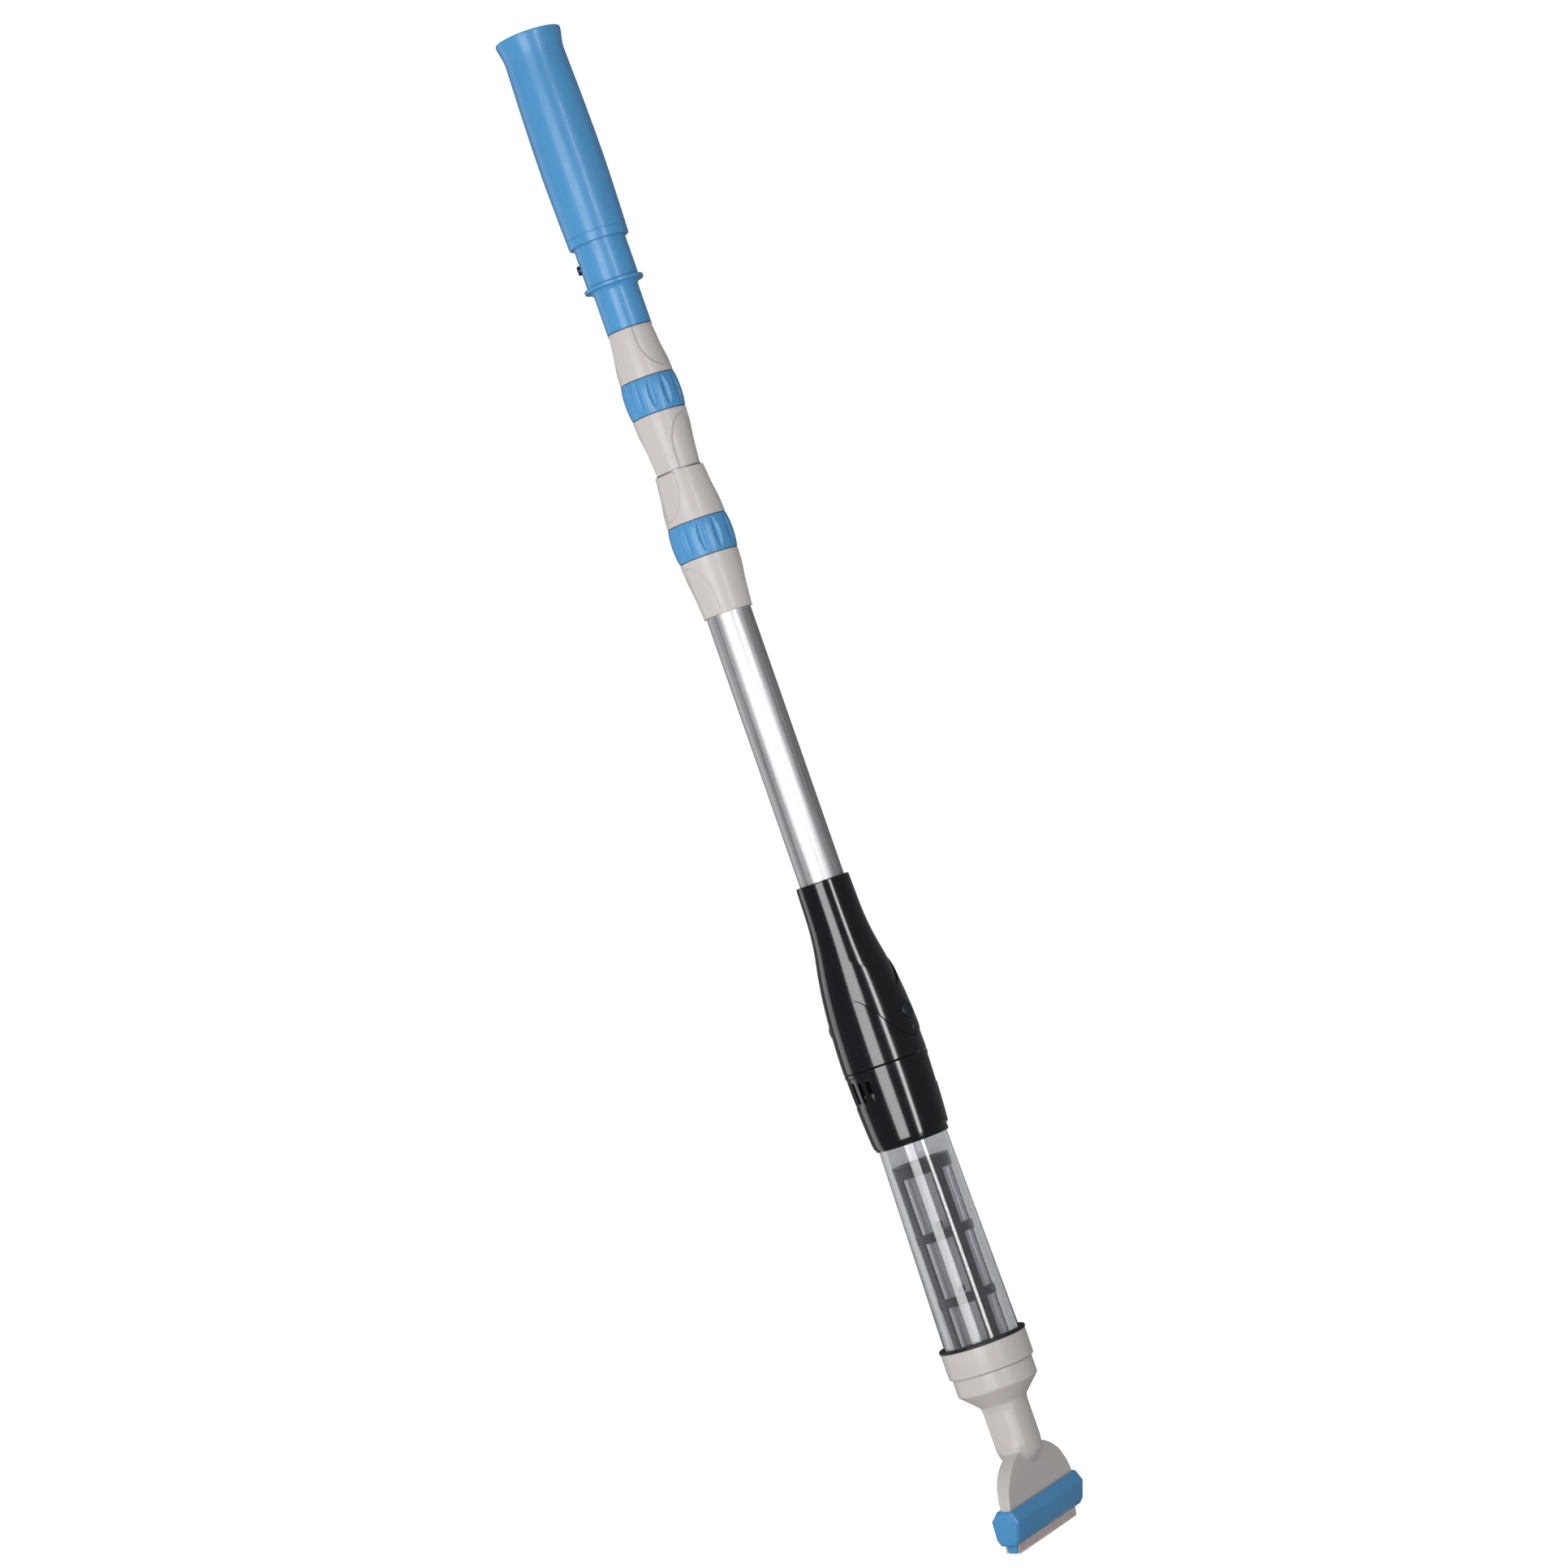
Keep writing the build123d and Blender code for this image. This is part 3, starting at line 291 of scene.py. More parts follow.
def make_finishes():
    """All finishes by name, in the colours of the settings."""
    c = bpy.context.scene.vacuum_colours
    return {
        "blue": moulded("blue_plastic", c.blue, 0.33, 0.18, 0.15),
        "grey": moulded("grey_plastic", c.grey, 0.38, 0.2, 0.08, 0.025),
        "black": moulded("black_gloss", c.black, 0.16, 0.0, 1.0, 0.2),
        "cage": moulded("dark_plastic", c.cage, 0.34, 0.2, 0.1, 0.12),
        "clear": clear_plastic("clear_plastic", c.clear),
        "aluminium": drawn_metal("satin_aluminium", c.aluminium, 0.47, 900, 0.08),
        "steel": drawn_metal("bright_steel", (0.62, 0.62, 0.63), 0.22, 600, 0.3),
        "mesh": drawn_metal("mesh_wire", (0.66, 0.66, 0.68), 0.30, 500, 0.2),
        "rubber": soft_rubber("black_rubber", (0.014, 0.014, 0.018)),
        "front_bristle": bristle_plastic("front_bristle", c.front_bristle),
        "rear_bristle": bristle_plastic("rear_bristle", c.rear_bristle),
        "white": moulded("white_acetal", (0.68, 0.68, 0.66), 0.4, 0.15),
        "wrap": moulded("cell_wrap", (0.03, 0.16, 0.07), 0.28, 0.1, 0.2, 0.1),
        "board": moulded("board_green", (0.012, 0.09, 0.045), 0.35, 0.3, 0.1, 0.2),
        "lens": clear_plastic("light_lens", (0.55, 0.85, 0.62)),
    }


# ---------------------------------------------------------------- modelling helpers
def nothing_selected():
    """Leaves edit mode and clears the selection."""
    if bpy.context.mode != "OBJECT":
        bpy.ops.object.mode_set(mode="OBJECT")
    bpy.ops.object.select_all(action="DESELECT")


def only(piece):
    """Selects one piece and makes it the active one."""
    nothing_selected()
    piece.hide_set(False)
    piece.select_set(True)
    bpy.context.view_layer.objects.active = piece


def settle(piece):
    """Puts the piece's place into its mesh, with its object at the origin."""
    only(piece)
    bpy.ops.object.transform_apply(location=True, rotation=True, scale=True)


def soften(points, radius, steps=3):
    """Rounds each sharp corner of a closed section."""
    out = []
    for k, point in enumerate(points):
        here = Vector(point)
        back = Vector(points[k - 1]) - here
        on = Vector(points[(k + 1) % len(points)]) - here
        if back.angle(on) > math.radians(158):
            out.append(here)
            continue
        r = min(radius, back.length * 0.45, on.length * 0.45)
        a, b = here + back.normalized() * r, here + on.normalized() * r
        for s in range(steps + 1):
            t = s / steps
            out.append(a * (1 - t) ** 2 + here * 2 * t * (1 - t) + b * t * t)
    return [(p.x, p.y) for p in out]


def through(points, per=6):
    """A smooth run through (radius, height) points."""
    knots = [Vector(p) for p in points]
    knots = [knots[0] * 2 - knots[1]] + knots + [knots[-1] * 2 - knots[-2]]
    out = []
    for k in range(1, len(knots) - 2):
        a, b, c, d = knots[k - 1:k + 3]
        for s in range(per):
            t = s / per
            out.append(
                0.5 * ((2 * b) + (c - a) * t + (2 * a - 5 * b + 4 * c - d) * t * t
                       + (3 * b - a - 3 * c + d) * t ** 3)
            )
    out.append(knots[-2])
    return [(p.x, p.y) for p in out]


def turned(section, steps=144):
    """A ring made on the pole's axis: a circle extruded and resized along a closed section."""
    nothing_selected()
    r, z = section[0]
    bpy.ops.mesh.primitive_circle_add(vertices=steps, radius=r, location=(0, 0, z))
    piece = bpy.context.object
    bpy.ops.object.mode_set(mode="EDIT")
    bpy.ops.mesh.select_all(action="SELECT")
    for r_next, z_next in list(section[1:]) + [section[0]]:
        bpy.ops.mesh.extrude_edges_move(TRANSFORM_OT_translate={"value": (0, 0, z_next - z)})
        grow = r_next / r
        bpy.ops.transform.resize(value=(grow, grow, 1), center_override=(0, 0, z_next))
        r, z = r_next, z_next
    bpy.ops.mesh.select_all(action="SELECT")
    bpy.ops.mesh.remove_doubles(threshold=4e-6)
    bpy.ops.mesh.normals_make_consistent(inside=False)
    bpy.ops.object.mode_set(mode="OBJECT")
    settle(piece)
    return piece


def prism(outline, front, back):
    """A closed outline of (x, height) points drawn out along Y from front to back."""
    nothing_selected()
    x, z = outline[0]
    bpy.ops.mesh.primitive_plane_add(size=0.001, location=(x, front, z))
    piece = bpy.context.object
    bpy.ops.object.mode_set(mode="EDIT")
    bpy.ops.mesh.select_all(action="SELECT")
    bpy.ops.mesh.merge(type="CENTER")
    for x_next, z_next in outline[1:]:
        bpy.ops.mesh.extrude_vertices_move(
            TRANSFORM_OT_translate={"value": (x_next - x, 0, z_next - z)}
        )
        x, z = x_next, z_next
    bpy.ops.mesh.select_all(action="SELECT")
    bpy.ops.mesh.edge_face_add()
    bpy.ops.mesh.extrude_region_move(TRANSFORM_OT_translate={"value": (0, back - front, 0)})
    bpy.ops.mesh.select_all(action="SELECT")
    bpy.ops.mesh.normals_make_consistent(inside=False)
    bpy.ops.object.mode_set(mode="OBJECT")
    settle(piece)
    return piece


def drilled(piece, radius, deep, place, vertices=48):
    """Drills a hole along Y."""
    nothing_selected()
    bpy.ops.mesh.primitive_cylinder_add(
        vertices=vertices, radius=radius, depth=deep, location=place,
        rotation=(math.radians(90), 0, 0),
    )
    return cut(piece, bpy.context.object)


def apply_all(piece):
    """Applies the piece's modifiers in order."""
    only(piece)
    for modifier in list(piece.modifiers):
        bpy.ops.object.modifier_apply(modifier=modifier.name)


def cut(piece, cutter, operation="DIFFERENCE"):
    """Cuts a piece with another, or joins them, and removes the tool."""
    only(piece)
    modifier = piece.modifiers.new("cut", "BOOLEAN")
    modifier.operation = operation
    modifier.solver = "EXACT"
    modifier.object = cutter
    bpy.ops.object.modifier_apply(modifier=modifier.name)
    bpy.data.objects.remove(cutter)
    return piece


def bevelled(piece, width, segments=2, angle=35):
    """Rounds the edges that are sharper than an angle in degrees."""
    only(piece)
    modifier = piece.modifiers.new("edges", "BEVEL")
    modifier.width = width
    modifier.segments = segments
    modifier.limit_method = "ANGLE"
    modifier.angle_limit = math.radians(angle)
    modifier.harden_normals = False
    bpy.ops.object.modifier_apply(modifier=modifier.name)
    return piece


def pushed(piece, depth, share_at):
    """Sinks the surface towards the pole's axis by depth times share_at(point)."""
    only(piece)
    shares = [share_at(vertex.co) for vertex in piece.data.vertices]
    for axis, name in enumerate("XY"):
        for side in (1, -1):
            group = piece.vertex_groups.new(name=name)
            for index, share in enumerate(shares):
                point = piece.data.vertices[index].co
                part = share * side * point[axis] / max(1e-6, math.hypot(point.x, point.y))
                if part > 0:
                    group.add([index], part, "REPLACE")
            modifier = piece.modifiers.new("sink", "DISPLACE")
            modifier.strength = -depth * side
            modifier.mid_level = 0.0
            modifier.direction = name
            modifier.vertex_group = group.name
    apply_all(piece)
    piece.vertex_groups.clear()
    return piece


def refined(node, name, edge=0.0, segments=2, angle=40, flat=0.4):
    """A merged copy of a frame node, with rounded edges."""
    only(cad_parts[node])
    bpy.ops.object.duplicate()
    piece = bpy.context.object
    piece.name = name
    piece.parent = None
    for key in list(piece.keys()):
        del piece[key]
    bpy.ops.object.mode_set(mode="EDIT")
    bpy.ops.mesh.select_all(action="SELECT")
    bpy.ops.mesh.remove_doubles(threshold=2e-6)
    bpy.ops.mesh.dissolve_limited(angle_limit=math.radians(flat))
    bpy.ops.object.mode_set(mode="OBJECT")
    if edge:
        bevelled(piece, edge, segments, angle)
    return piece


def finish_piece(piece, name, nodes, body, finish, smooth=32):
    """Names the piece, gives it its finish and sets it on its body."""
    settle(piece)
    piece.name = name
    piece.data.name = name
    piece.data.materials.clear()
    piece.data.materials.append(finish)
    bpy.ops.object.shade_smooth_by_angle(angle=math.radians(smooth))
    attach(piece, body)
    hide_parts(*nodes)
    return piece


def span(node):
    """Lowest and highest height of a frame node."""
    low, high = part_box(node)
    return low.z, high.z


def outer(node):
    """Largest radius of a round frame node."""
    low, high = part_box(node)
    return (high.x - low.x) / 2


def centre(node):
    """Middle of a frame node's box."""
    low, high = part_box(node)
    return (low + high) / 2


def ease(t):
    """A soft step from 0 to 1."""
    t = max(0.0, min(1.0, t))
    return t * t * (3 - 2 * t)


# ---------------------------------------------------------------- pieces
def snap_hole(piece, distance, deep, vertices):
    """Cuts the snap button's hole through a wall at a distance from the pole's axis."""
    out = Vector((math.cos(SNAP_TURN), math.sin(SNAP_TURN), 0))
    bpy.ops.mesh.primitive_cylinder_add(
        vertices=vertices, radius=0.0034, depth=deep,
        location=out * distance + Vector((0, 0, centre("snap_button").z)),
        rotation=(0, math.radians(90), SNAP_TURN),
    )
    cut(piece, bpy.context.object)


class VACUUM_OT_handle(bpy.types.Operator):
    """Hollow grip with its flared mouth, and the sleeve and flange below it"""

    bl_idname = "vacuum.handle"
    bl_label = "Handle"

    def execute(self, context):
        finish = make_finishes()
        edge = context.scene.vacuum_sizes.edge
        low, high = span("handle_grip")
        adapter_low, adapter_high = span("handle_adapter")
        adapter_r, collar_r, socket_r, drain_r = 0.01425, 0.0166, 0.0160, 0.0042
        web = high - 0.110
        web_foot = web - 0.003
        collar_top = low + 0.026
        outside = through(
            [
                (0.01930, collar_top + 0.0012),
                (0.01985, collar_top + 0.020),
                (0.02040, collar_top + 0.050),
                (0.02000, collar_top + 0.086),
                (0.01910, high - 0.016),
                (0.01945, high - 0.0095),
                (0.02050, high - 0.0042),
                (0.02100, high - 0.0012),
            ],
            7,
        )
        groove = collar_top + 0.0058
        wall = [p for p in outside if p[1] < groove - 0.0006]
        wall += [
            (0.01945, groove - 0.0005), (0.01915, groove - 0.0002),
            (0.01915, groove + 0.0002), (0.01948, groove + 0.0005),
        ]
        wall += [p for p in outside if p[1] > groove + 0.0007]
        section = soften(
            [
                (adapter_r, low), (collar_r, low), (collar_r, collar_top), (0.0188, collar_top),
                (0.0193, collar_top + 0.0005),
            ],
            edge * 0.7,
        )[:-3]
        section += wall
        section += [(0.02098, high - 0.0006), (0.02075, high), (0.01660, high)]
        section += [(socket_r, high - 0.0007), (socket_r, web), (drain_r, web)]
        section += [(drain_r, web_foot), (adapter_r, web_foot)]
        grip = turned(section, 160)
        snap_hole(grip, collar_r, 0.008, 48)
        finish_piece(
            grip, "grip", ["handle_grip"], "inner_stage", finish["blue"], 30
        )

        flange, flange_r, bore = adapter_low + 0.028, 0.0190, 0.01115
        section = soften(
            [
                (bore, adapter_low), (adapter_r, adapter_low), (adapter_r, flange - 0.0026),
                (0.01590, flange), (flange_r, flange), (flange_r, flange + 0.0025),
                (0.01420, flange + 0.0026), (0.01420, adapter_high), (bore, adapter_high),
            ],
            edge,
        )
        sleeve = turned(section, 144)
        snap_hole(sleeve, 0.0146, 0.012, 40)
        finish_piece(
            sleeve, "grip_sleeve", ["handle_adapter"], "inner_stage",
            finish["blue"], 30,
        )
        button = refined("snap_button", "snap_stud", 0.0002)
        finish_piece(
            button, "snap_stud", ["snap_button"], "snap", finish["cage"], 40
        )
        return {"FINISHED"}


def lock_section(wide_z, thin_z, wide_r, thin_r, bore, edge):
    """The closed section of a bellied shell between its wide and its thin end."""
    count = 64
    bow = []
    for k in range(count + 1):
        t = k / count
        belly = thin_r + (wide_r - thin_r) * (1 - t) + 0.12 * (wide_r - thin_r) * 4 * t * (1 - t)
        bow.append((belly, wide_z + (thin_z - wide_z) * t))
    out = [(bore, wide_z)] + soften([(bore, wide_z), bow[0], bow[2]], edge)[4:8]
    out += bow[2:-2]
    out += soften([bow[-3], bow[-1], (bore, thin_z)], edge)[4:8]
    out += [(bore, thin_z)]
    return out


def scoop_share(wide_z, thin_z, turn, half_width, radius):
    """How deep the U-shaped thumb scoops are at a point, from 0 to 1."""
    up = 1 if thin_z > wide_z else -1
    height = abs(thin_z - wide_z)
    start = 0.0035
    length = height * 0.62

    def share(point):
        along = (point.z - wide_z) * up
        if math.hypot(point.x, point.y) < radius * 0.86 or along < start:
            return 0.0
        azimuth = math.atan2(point.y, point.x)
        best = 0.0
        for side in (0, math.pi):
            off = math.atan2(math.sin(azimuth - turn - side), math.cos(azimuth - turn - side))
            across = abs(off) * radius / half_width
            climb = min(1.0, (along - start) / length)
            edge_at = math.sqrt(max(0.0, 1 - (1 - climb) ** 2))
            inside = (edge_at - across) * half_width
            best = max(best, ease(inside / 0.0011))
        return best

    return share


class VACUUM_OT_lock_shells(bpy.types.Operator):
    """The four grey lock shells, each with two soft thumb scoops"""

    bl_idname = "vacuum.lock_shells"
    bl_label = "Lock shells"

    def execute(self, context):
        finish = make_finishes()
        sizes = context.scene.vacuum_sizes
        for name, body, moving_r, turn in (
            ("lower", "vacuum_unit", 0.01270, 150.0),
            ("upper", "middle_stage", 0.01110, -93.0),
        ):
            tube_r = TUBE_R[name]
            wide_r, thin_r = tube_r + 0.0044, tube_r + 0.0020
            ring_low, ring_high = span(name + "_lock_ring")
            base_low, sleeve_high = span(name + "_lock_base")
            cap_low, cap_high = span(name + "_lock_cap")

            def scooped(section, wide_z, thin_z):
                share = scoop_share(
                    wide_z, thin_z, math.radians(turn), sizes.scoop_half_width, wide_r
                )
                return pushed(turned(section, 192), sizes.scoop_depth, share)

            wide_z = ring_low - 0.0005
            bore, sleeve_r = tube_r + SLIP, tube_r + 0.00165
            section = lock_section(wide_z, base_low, wide_r, thin_r, bore, sizes.edge)[1:]
            section += [(bore, sleeve_high), (sleeve_r, sleeve_high), (sleeve_r, wide_z)]
            base = scooped(section, wide_z, base_low)
            finish_piece(
                base, name + "_shell", [name + "_lock_base"], body,
                finish["grey"], 40,
            )
            bore = moving_r + 0.0004
            pocket, pocket_r = cap_low + 0.0112, sleeve_r + SLIP
            section = lock_section(cap_low, cap_high, wide_r, thin_r, bore, sizes.edge)[1:-1]
            section += [(bore, cap_high), (bore, pocket), (pocket_r, pocket), (pocket_r, cap_low)]
            cap = scooped(section, cap_low, cap_high)
            finish_piece(
                cap, name + "_shell_cap", [name + "_lock_cap"], body,
                finish["grey"], 40,
            )
        return {"FINISHED"}


class VACUUM_OT_twist_rings(bpy.types.Operator):
    """The two blue twist rings, with leaf-shaped finger flutes"""

    bl_idname = "vacuum.twist_rings"
    bl_label = "Twist rings"

    def execute(self, context):
        finish = make_finishes()
        sizes = context.scene.vacuum_sizes
        count, crown, leaf_half_width = 44, 0.0013, 0.0025
        for name, tube_r in TUBE_R.items():
            low, high = span(name + "_lock_ring")
            middle, half = (low + high) / 2, (high - low) / 2
            waist = tube_r + 0.0057
            bore = tube_r + 0.00205
            side = [
                (waist - crown * (2 * k / count - 1) ** 2, low + 2 * half * k / count)
                for k in range(count + 1)
            ]
            section = soften([(bore, low)] + side + [(bore, high)], sizes.edge)
            ring = turned(section, 288)
            pitch = 2 * math.pi / sizes.flutes
            leaf = half * 0.84

            def share(point):
                up = abs(point.z - middle) / leaf
                if up >= 1 or math.hypot(point.x, point.y) < waist * 0.93:
                    return 0.0
                azimuth = math.atan2(point.y, point.x) + pitch / 2
                off = abs((azimuth + 8 * math.pi) % pitch - pitch / 2) * waist
                width = leaf_half_width * math.sqrt(1 - up ** 2) ** 1.3
                if off >= width:
                    return 0.0
                return (1 - (off / width) ** 2) * math.sqrt(1 - up ** 2)

            pushed(ring, sizes.flute_depth, share)
            finish_piece(
                ring, name + "_twist_ring", [name + "_lock_ring"], name + "_ring",
                finish["blue"], 40,
            )
        return {"FINISHED"}


class VACUUM_OT_tubes(bpy.types.Operator):
    """The three drawn aluminium tubes"""

    bl_idname = "vacuum.tubes"
    bl_label = "Tubes"

    def execute(self, context):
        finish = make_finishes()
        wall, screw_hole_r = 0.0012, 0.00145
        for node, name, body in (
            ("outer_tube", "pole_outer", "vacuum_unit"),
            ("middle_tube", "pole_middle", "middle_stage"),
            ("inner_tube", "pole_inner", "inner_stage"),
        ):
            low, high = span(node)
            r = outer(node)
            section = soften(
                [(r - wall, low), (r, low), (r, high), (r - wall, high)], 0.0003, 2
            )
            tube = turned(section, 144)
            if node == "outer_tube":
                for up in SCREW_UP:
                    drilled(tube, screw_hole_r, r, (0, r, low + up), 32)
            finish_piece(tube, name, [node], body, finish["aluminium"], 30)
        return {"FINISHED"}


# The housing's outside as (radius, height above its rim) in millimetres.
HOUSING_LOW = (
    (24.25, 1.2), (24.75, 4.0), (25.35, 12.0), (26.00, 24.0), (26.55, 36.0), (26.80, 46.0),
    (26.86, 52.0), (26.60, 64.0), (26.05, 76.0), (25.20, 88.0), (23.85, 101.0), (22.05, 113.2),
)
HOUSING_HIGH = (
    (22.05, 113.2), (20.55, 121.0), (19.15, 129.0), (18.10, 138.0), (17.55, 147.0),
    (17.28, 157.0), (17.05, 167.6),
)


def housing_line(rim, low, high):
    """The housing's outside between two heights above its rim, from low to high."""
    line = through(HOUSING_LOW, 20)[:-1] + through(HOUSING_HIGH, 14)
    return [(r * MM, rim + z * MM) for r, z in line if low < z < high]


# The right half of the switch panel's outline as (x, height above the button) in millimetres.
PAD_TOP = ((0, 16.5), (5.6, 19.7), (12.3, 28.0), (17.8, 37.2), (24.6, 46.0))
PAD_LOW = ((24.6, 17.5), (22.2, 11.3), (17.3, -1.2), (10.0, -12.0), (0, -16.5))


HOUSING_WALL = 2.2 * MM
FACE_Y = 25.5 * MM  # about where the housing's front and back faces are at the button
LIGHT_HOLE_R = 1.6 * MM
HOLE_DEPTH = 14 * MM
SEAM_HALF = 0.25 * MM


def upper_shell(rim, seam, button, light):
    """The tapered upper shell, with its holes for button, light, jack and tube screws."""
    top = span("housing_upper")[1]
    socket = span("outer_tube")[0]
    tube_r, floor_r = 14.4 * MM, 12.0 * MM
    line = housing_line(rim, 50.6, 168.0)
    first, last = line[0], line[-1]
    low = seam + SEAM_HALF
    section = [(first[0] - HOUSING_WALL, low), (first[0] - SEAM_HALF, low)]
    section += line
    section += [
        (last[0] - 0.15 * MM, top - 0.5 * MM), (last[0] - 0.6 * MM, top), (tube_r, top),
        (tube_r, socket), (floor_r, socket), (floor_r, socket - 3 * MM),
    ]
    section += [(r - HOUSING_WALL, z) for r, z in line[::-6] if z < socket - 4 * MM]
    shell = turned(section, 288)
    drilled(shell, 7.5 * MM, HOLE_DEPTH, (0, -FACE_Y, button.z))
    drilled(shell, LIGHT_HOLE_R, HOLE_DEPTH, (0, -FACE_Y, light.z), 32)
    drilled(shell, 4.05 * MM, HOLE_DEPTH, (0, FACE_Y, centre("jack_plug").z))
    for up in SCREW_UP:
        drilled(shell, 1.5 * MM, 12 * MM, (0, 17.0 * MM, socket + up), 32)
        drilled(shell, 2.8 * MM, 3.4 * MM, (0, 17.3 * MM, socket + up), 32)
    return shell


def lower_shell(rim, seam):
    """The lower shell, with two recessed vent groups and a notch in its rim."""
    line = housing_line(rim, 1.1, 49.4)
    first, last = line[0], line[-1]
    thick = rim + 22 * MM
    ledge, ledge_low = last[0] - 1.2 * MM, seam - 5.2 * MM
    spigot = last[0] - 2.6 * MM
    section = [(23.9 * MM, thick), (23.9 * MM, rim + 0.7 * MM), (24.1 * MM, rim + 0.75 * MM)]
    section += line
    section += [
        (last[0] - 0.05 * MM, seam - 0.45 * MM), (last[0] - SEAM_HALF, seam - SEAM_HALF),
        (ledge, seam - SEAM_HALF), (ledge, ledge_low), (spigot, ledge_low), (spigot, thick),
    ]
    shell = turned(section, 320)
    vent = seam - 12 * MM
    facing = math.radians(147.0)
    half_turn, half_height = math.radians(40.0), 9.2 * MM

    def recess(point):
        r = math.hypot(point.x, point.y)
        if r < 25.3 * MM:
            return 0.0
        turn = math.atan2(point.y, point.x) - facing
        off = abs((turn + math.pi / 2) % math.pi - math.pi / 2)
        beside = (half_turn - off) * r
        above = half_height - abs(point.z - vent)
        return ease(min(beside, above) / (1.3 * MM) + 0.5)

    pushed(shell, 0.45 * MM, recess)
    for side in (0, 1):
        for k in range(-2, 3):
            turn = facing + math.pi * side + math.radians(14.5) * k
            nothing_selected()
            bpy.ops.mesh.primitive_cube_add(
                size=1, location=(math.cos(turn) * 0.026, math.sin(turn) * 0.026, vent),
                rotation=(0, 0, turn), scale=(0.014, 0.0031, 0.014),
            )
            slot = bpy.context.object
            bpy.ops.object.transform_apply(location=False, rotation=False, scale=True)
            bevelled(slot, 0.0007, 3)
            cut(shell, slot)
    notch_half, notch_high = 24.5, 5.5
    notch = (notch_half ** 2 + notch_high ** 2) / (2 * notch_high)
    drilled(shell, notch * MM, 0.044, (0, -26.9 * MM, rim + (notch_high - notch) * MM), 512)
    return shell


def switch_panel(rim, button, light):
    """The panel that stands 1 mm proud of the upper shell round the button."""
    line = housing_line(rim, 58.0, 126.0)
    section = [(r - 1.3 * MM, z) for r, z in line[::-1]] + line
    panel = turned(section, 288)
    only(panel)
    bpy.ops.transform.translate(value=(0, -1.0 * MM, 0))
    settle(panel)
    upward, below = through(PAD_TOP, 6), through(PAD_LOW, 6)
    outline = upward + below
    outline += [(-x, z) for x, z in below[-2::-1]] + [(-x, z) for x, z in upward[:0:-1]]
    outline = [(x * MM, z * MM + button.z) for x, z in outline]
    cut(panel, prism(outline, -0.04, -0.007), "INTERSECT")
    drilled(panel, 5.85 * MM, HOLE_DEPTH, (0, -FACE_Y, button.z))
    drilled(panel, LIGHT_HOLE_R, HOLE_DEPTH, (0, -FACE_Y, light.z), 32)
    return panel


class VACUUM_OT_housing(bpy.types.Operator):
    """The black motor and battery housing, its switch panel, button, screws and plug"""

    bl_idname = "vacuum.housing"
    bl_label = "Housing"

    def execute(self, context):
        finish = make_finishes()
        rim = span("housing_lower")[0]
        seam = rim + 50.0 * MM
        button, light = centre("power_button"), centre("charge_light")
        for piece, name, node in (
            (upper_shell(rim, seam, button, light), "battery_shell", "housing_upper"),
            (lower_shell(rim, seam), "motor_shell", "housing_lower"),
            (switch_panel(rim, button, light), "switch_panel", "switch_pad"),
        ):
            finish_piece(
                piece, name, [node], "vacuum_unit", finish["black"], 30
            )
        for node, name, body, slot, coat, edge in (
            ("power_button", "switch_button", "switch", "dark_plastic", "cage", 0.0002),
            ("tube_screws", "socket_screws", "vacuum_unit", "steel", "steel", 0.0001),
            ("jack_plug", "jack_cover", "plug", "seal_rubber", "rubber", 0.0002),
            ("coupling_ring", "coupling_collar", "chamber", "black_gloss", "black", 0.0002),
        ):
            piece = refined(node, name, edge)
            finish_piece(piece, name, [node], body, finish[coat], 30)
        return {"FINISHED"}


class VACUUM_OT_chamber(bpy.types.Operator):
    """The smoky clear debris chamber"""

    bl_idname = "vacuum.chamber"
    bl_label = "Debris chamber"

    def execute(self, context):
        finish = make_finishes()
        low, high = span("debris_chamber")
        rim = span("housing_lower")[0]
        foot_r = outer("debris_chamber")
        top_r, wall = 0.0219, 0.0020
        section = soften(
            [
                (foot_r - wall, low), (foot_r, low), (top_r, rim), (top_r, high),
                (top_r - wall, high), (top_r - wall, rim),
            ],
            0.0005,
        )
        chamber = turned(section, 192)
        finish_piece(
            chamber, "clear_chamber", ["debris_chamber"], "chamber",
            finish["clear"], 30,
        )
        return {"FINISHED"}


def screen_hoops(r, low, high, thin, pitch):
    """The screen's level wires, one above the other."""
    nothing_selected()
    bpy.ops.mesh.primitive_torus_add(
        major_segments=60, minor_segments=4, major_radius=r, minor_radius=thin,
        location=(0, 0, low + thin),
    )
    hoops = bpy.context.object
    repeat = hoops.modifiers.new("hoops", "ARRAY")
    repeat.use_relative_offset = False
    repeat.use_constant_offset = True
    repeat.constant_offset_displace = (0, 0, pitch)
    repeat.count = int((high - low - 4 * thin) / pitch)
    apply_all(hoops)
    return hoops


def screen_bars(r, low, high, thin, pitch):
    """The screen's upright wires, spun round the axis."""
    nothing_selected()
    bpy.ops.mesh.primitive_cylinder_add(
        vertices=4, radius=thin, depth=high - low - 2 * thin, end_fill_type="TRIFAN",
        location=(r, 0, (low + high) / 2),
    )
    bars = bpy.context.object
    settle(bars)
    count = int(2 * math.pi * r / pitch)
    bpy.ops.object.mode_set(mode="EDIT")
    bpy.ops.mesh.select_all(action="SELECT")
    bpy.ops.mesh.spin(
        steps=count - 1, dupli=True, angle=2 * math.pi * (count - 1) / count,
        center=(0, 0, 0), axis=(0, 0, 1),
    )
    bpy.ops.object.mode_set(mode="OBJECT")
    return bars


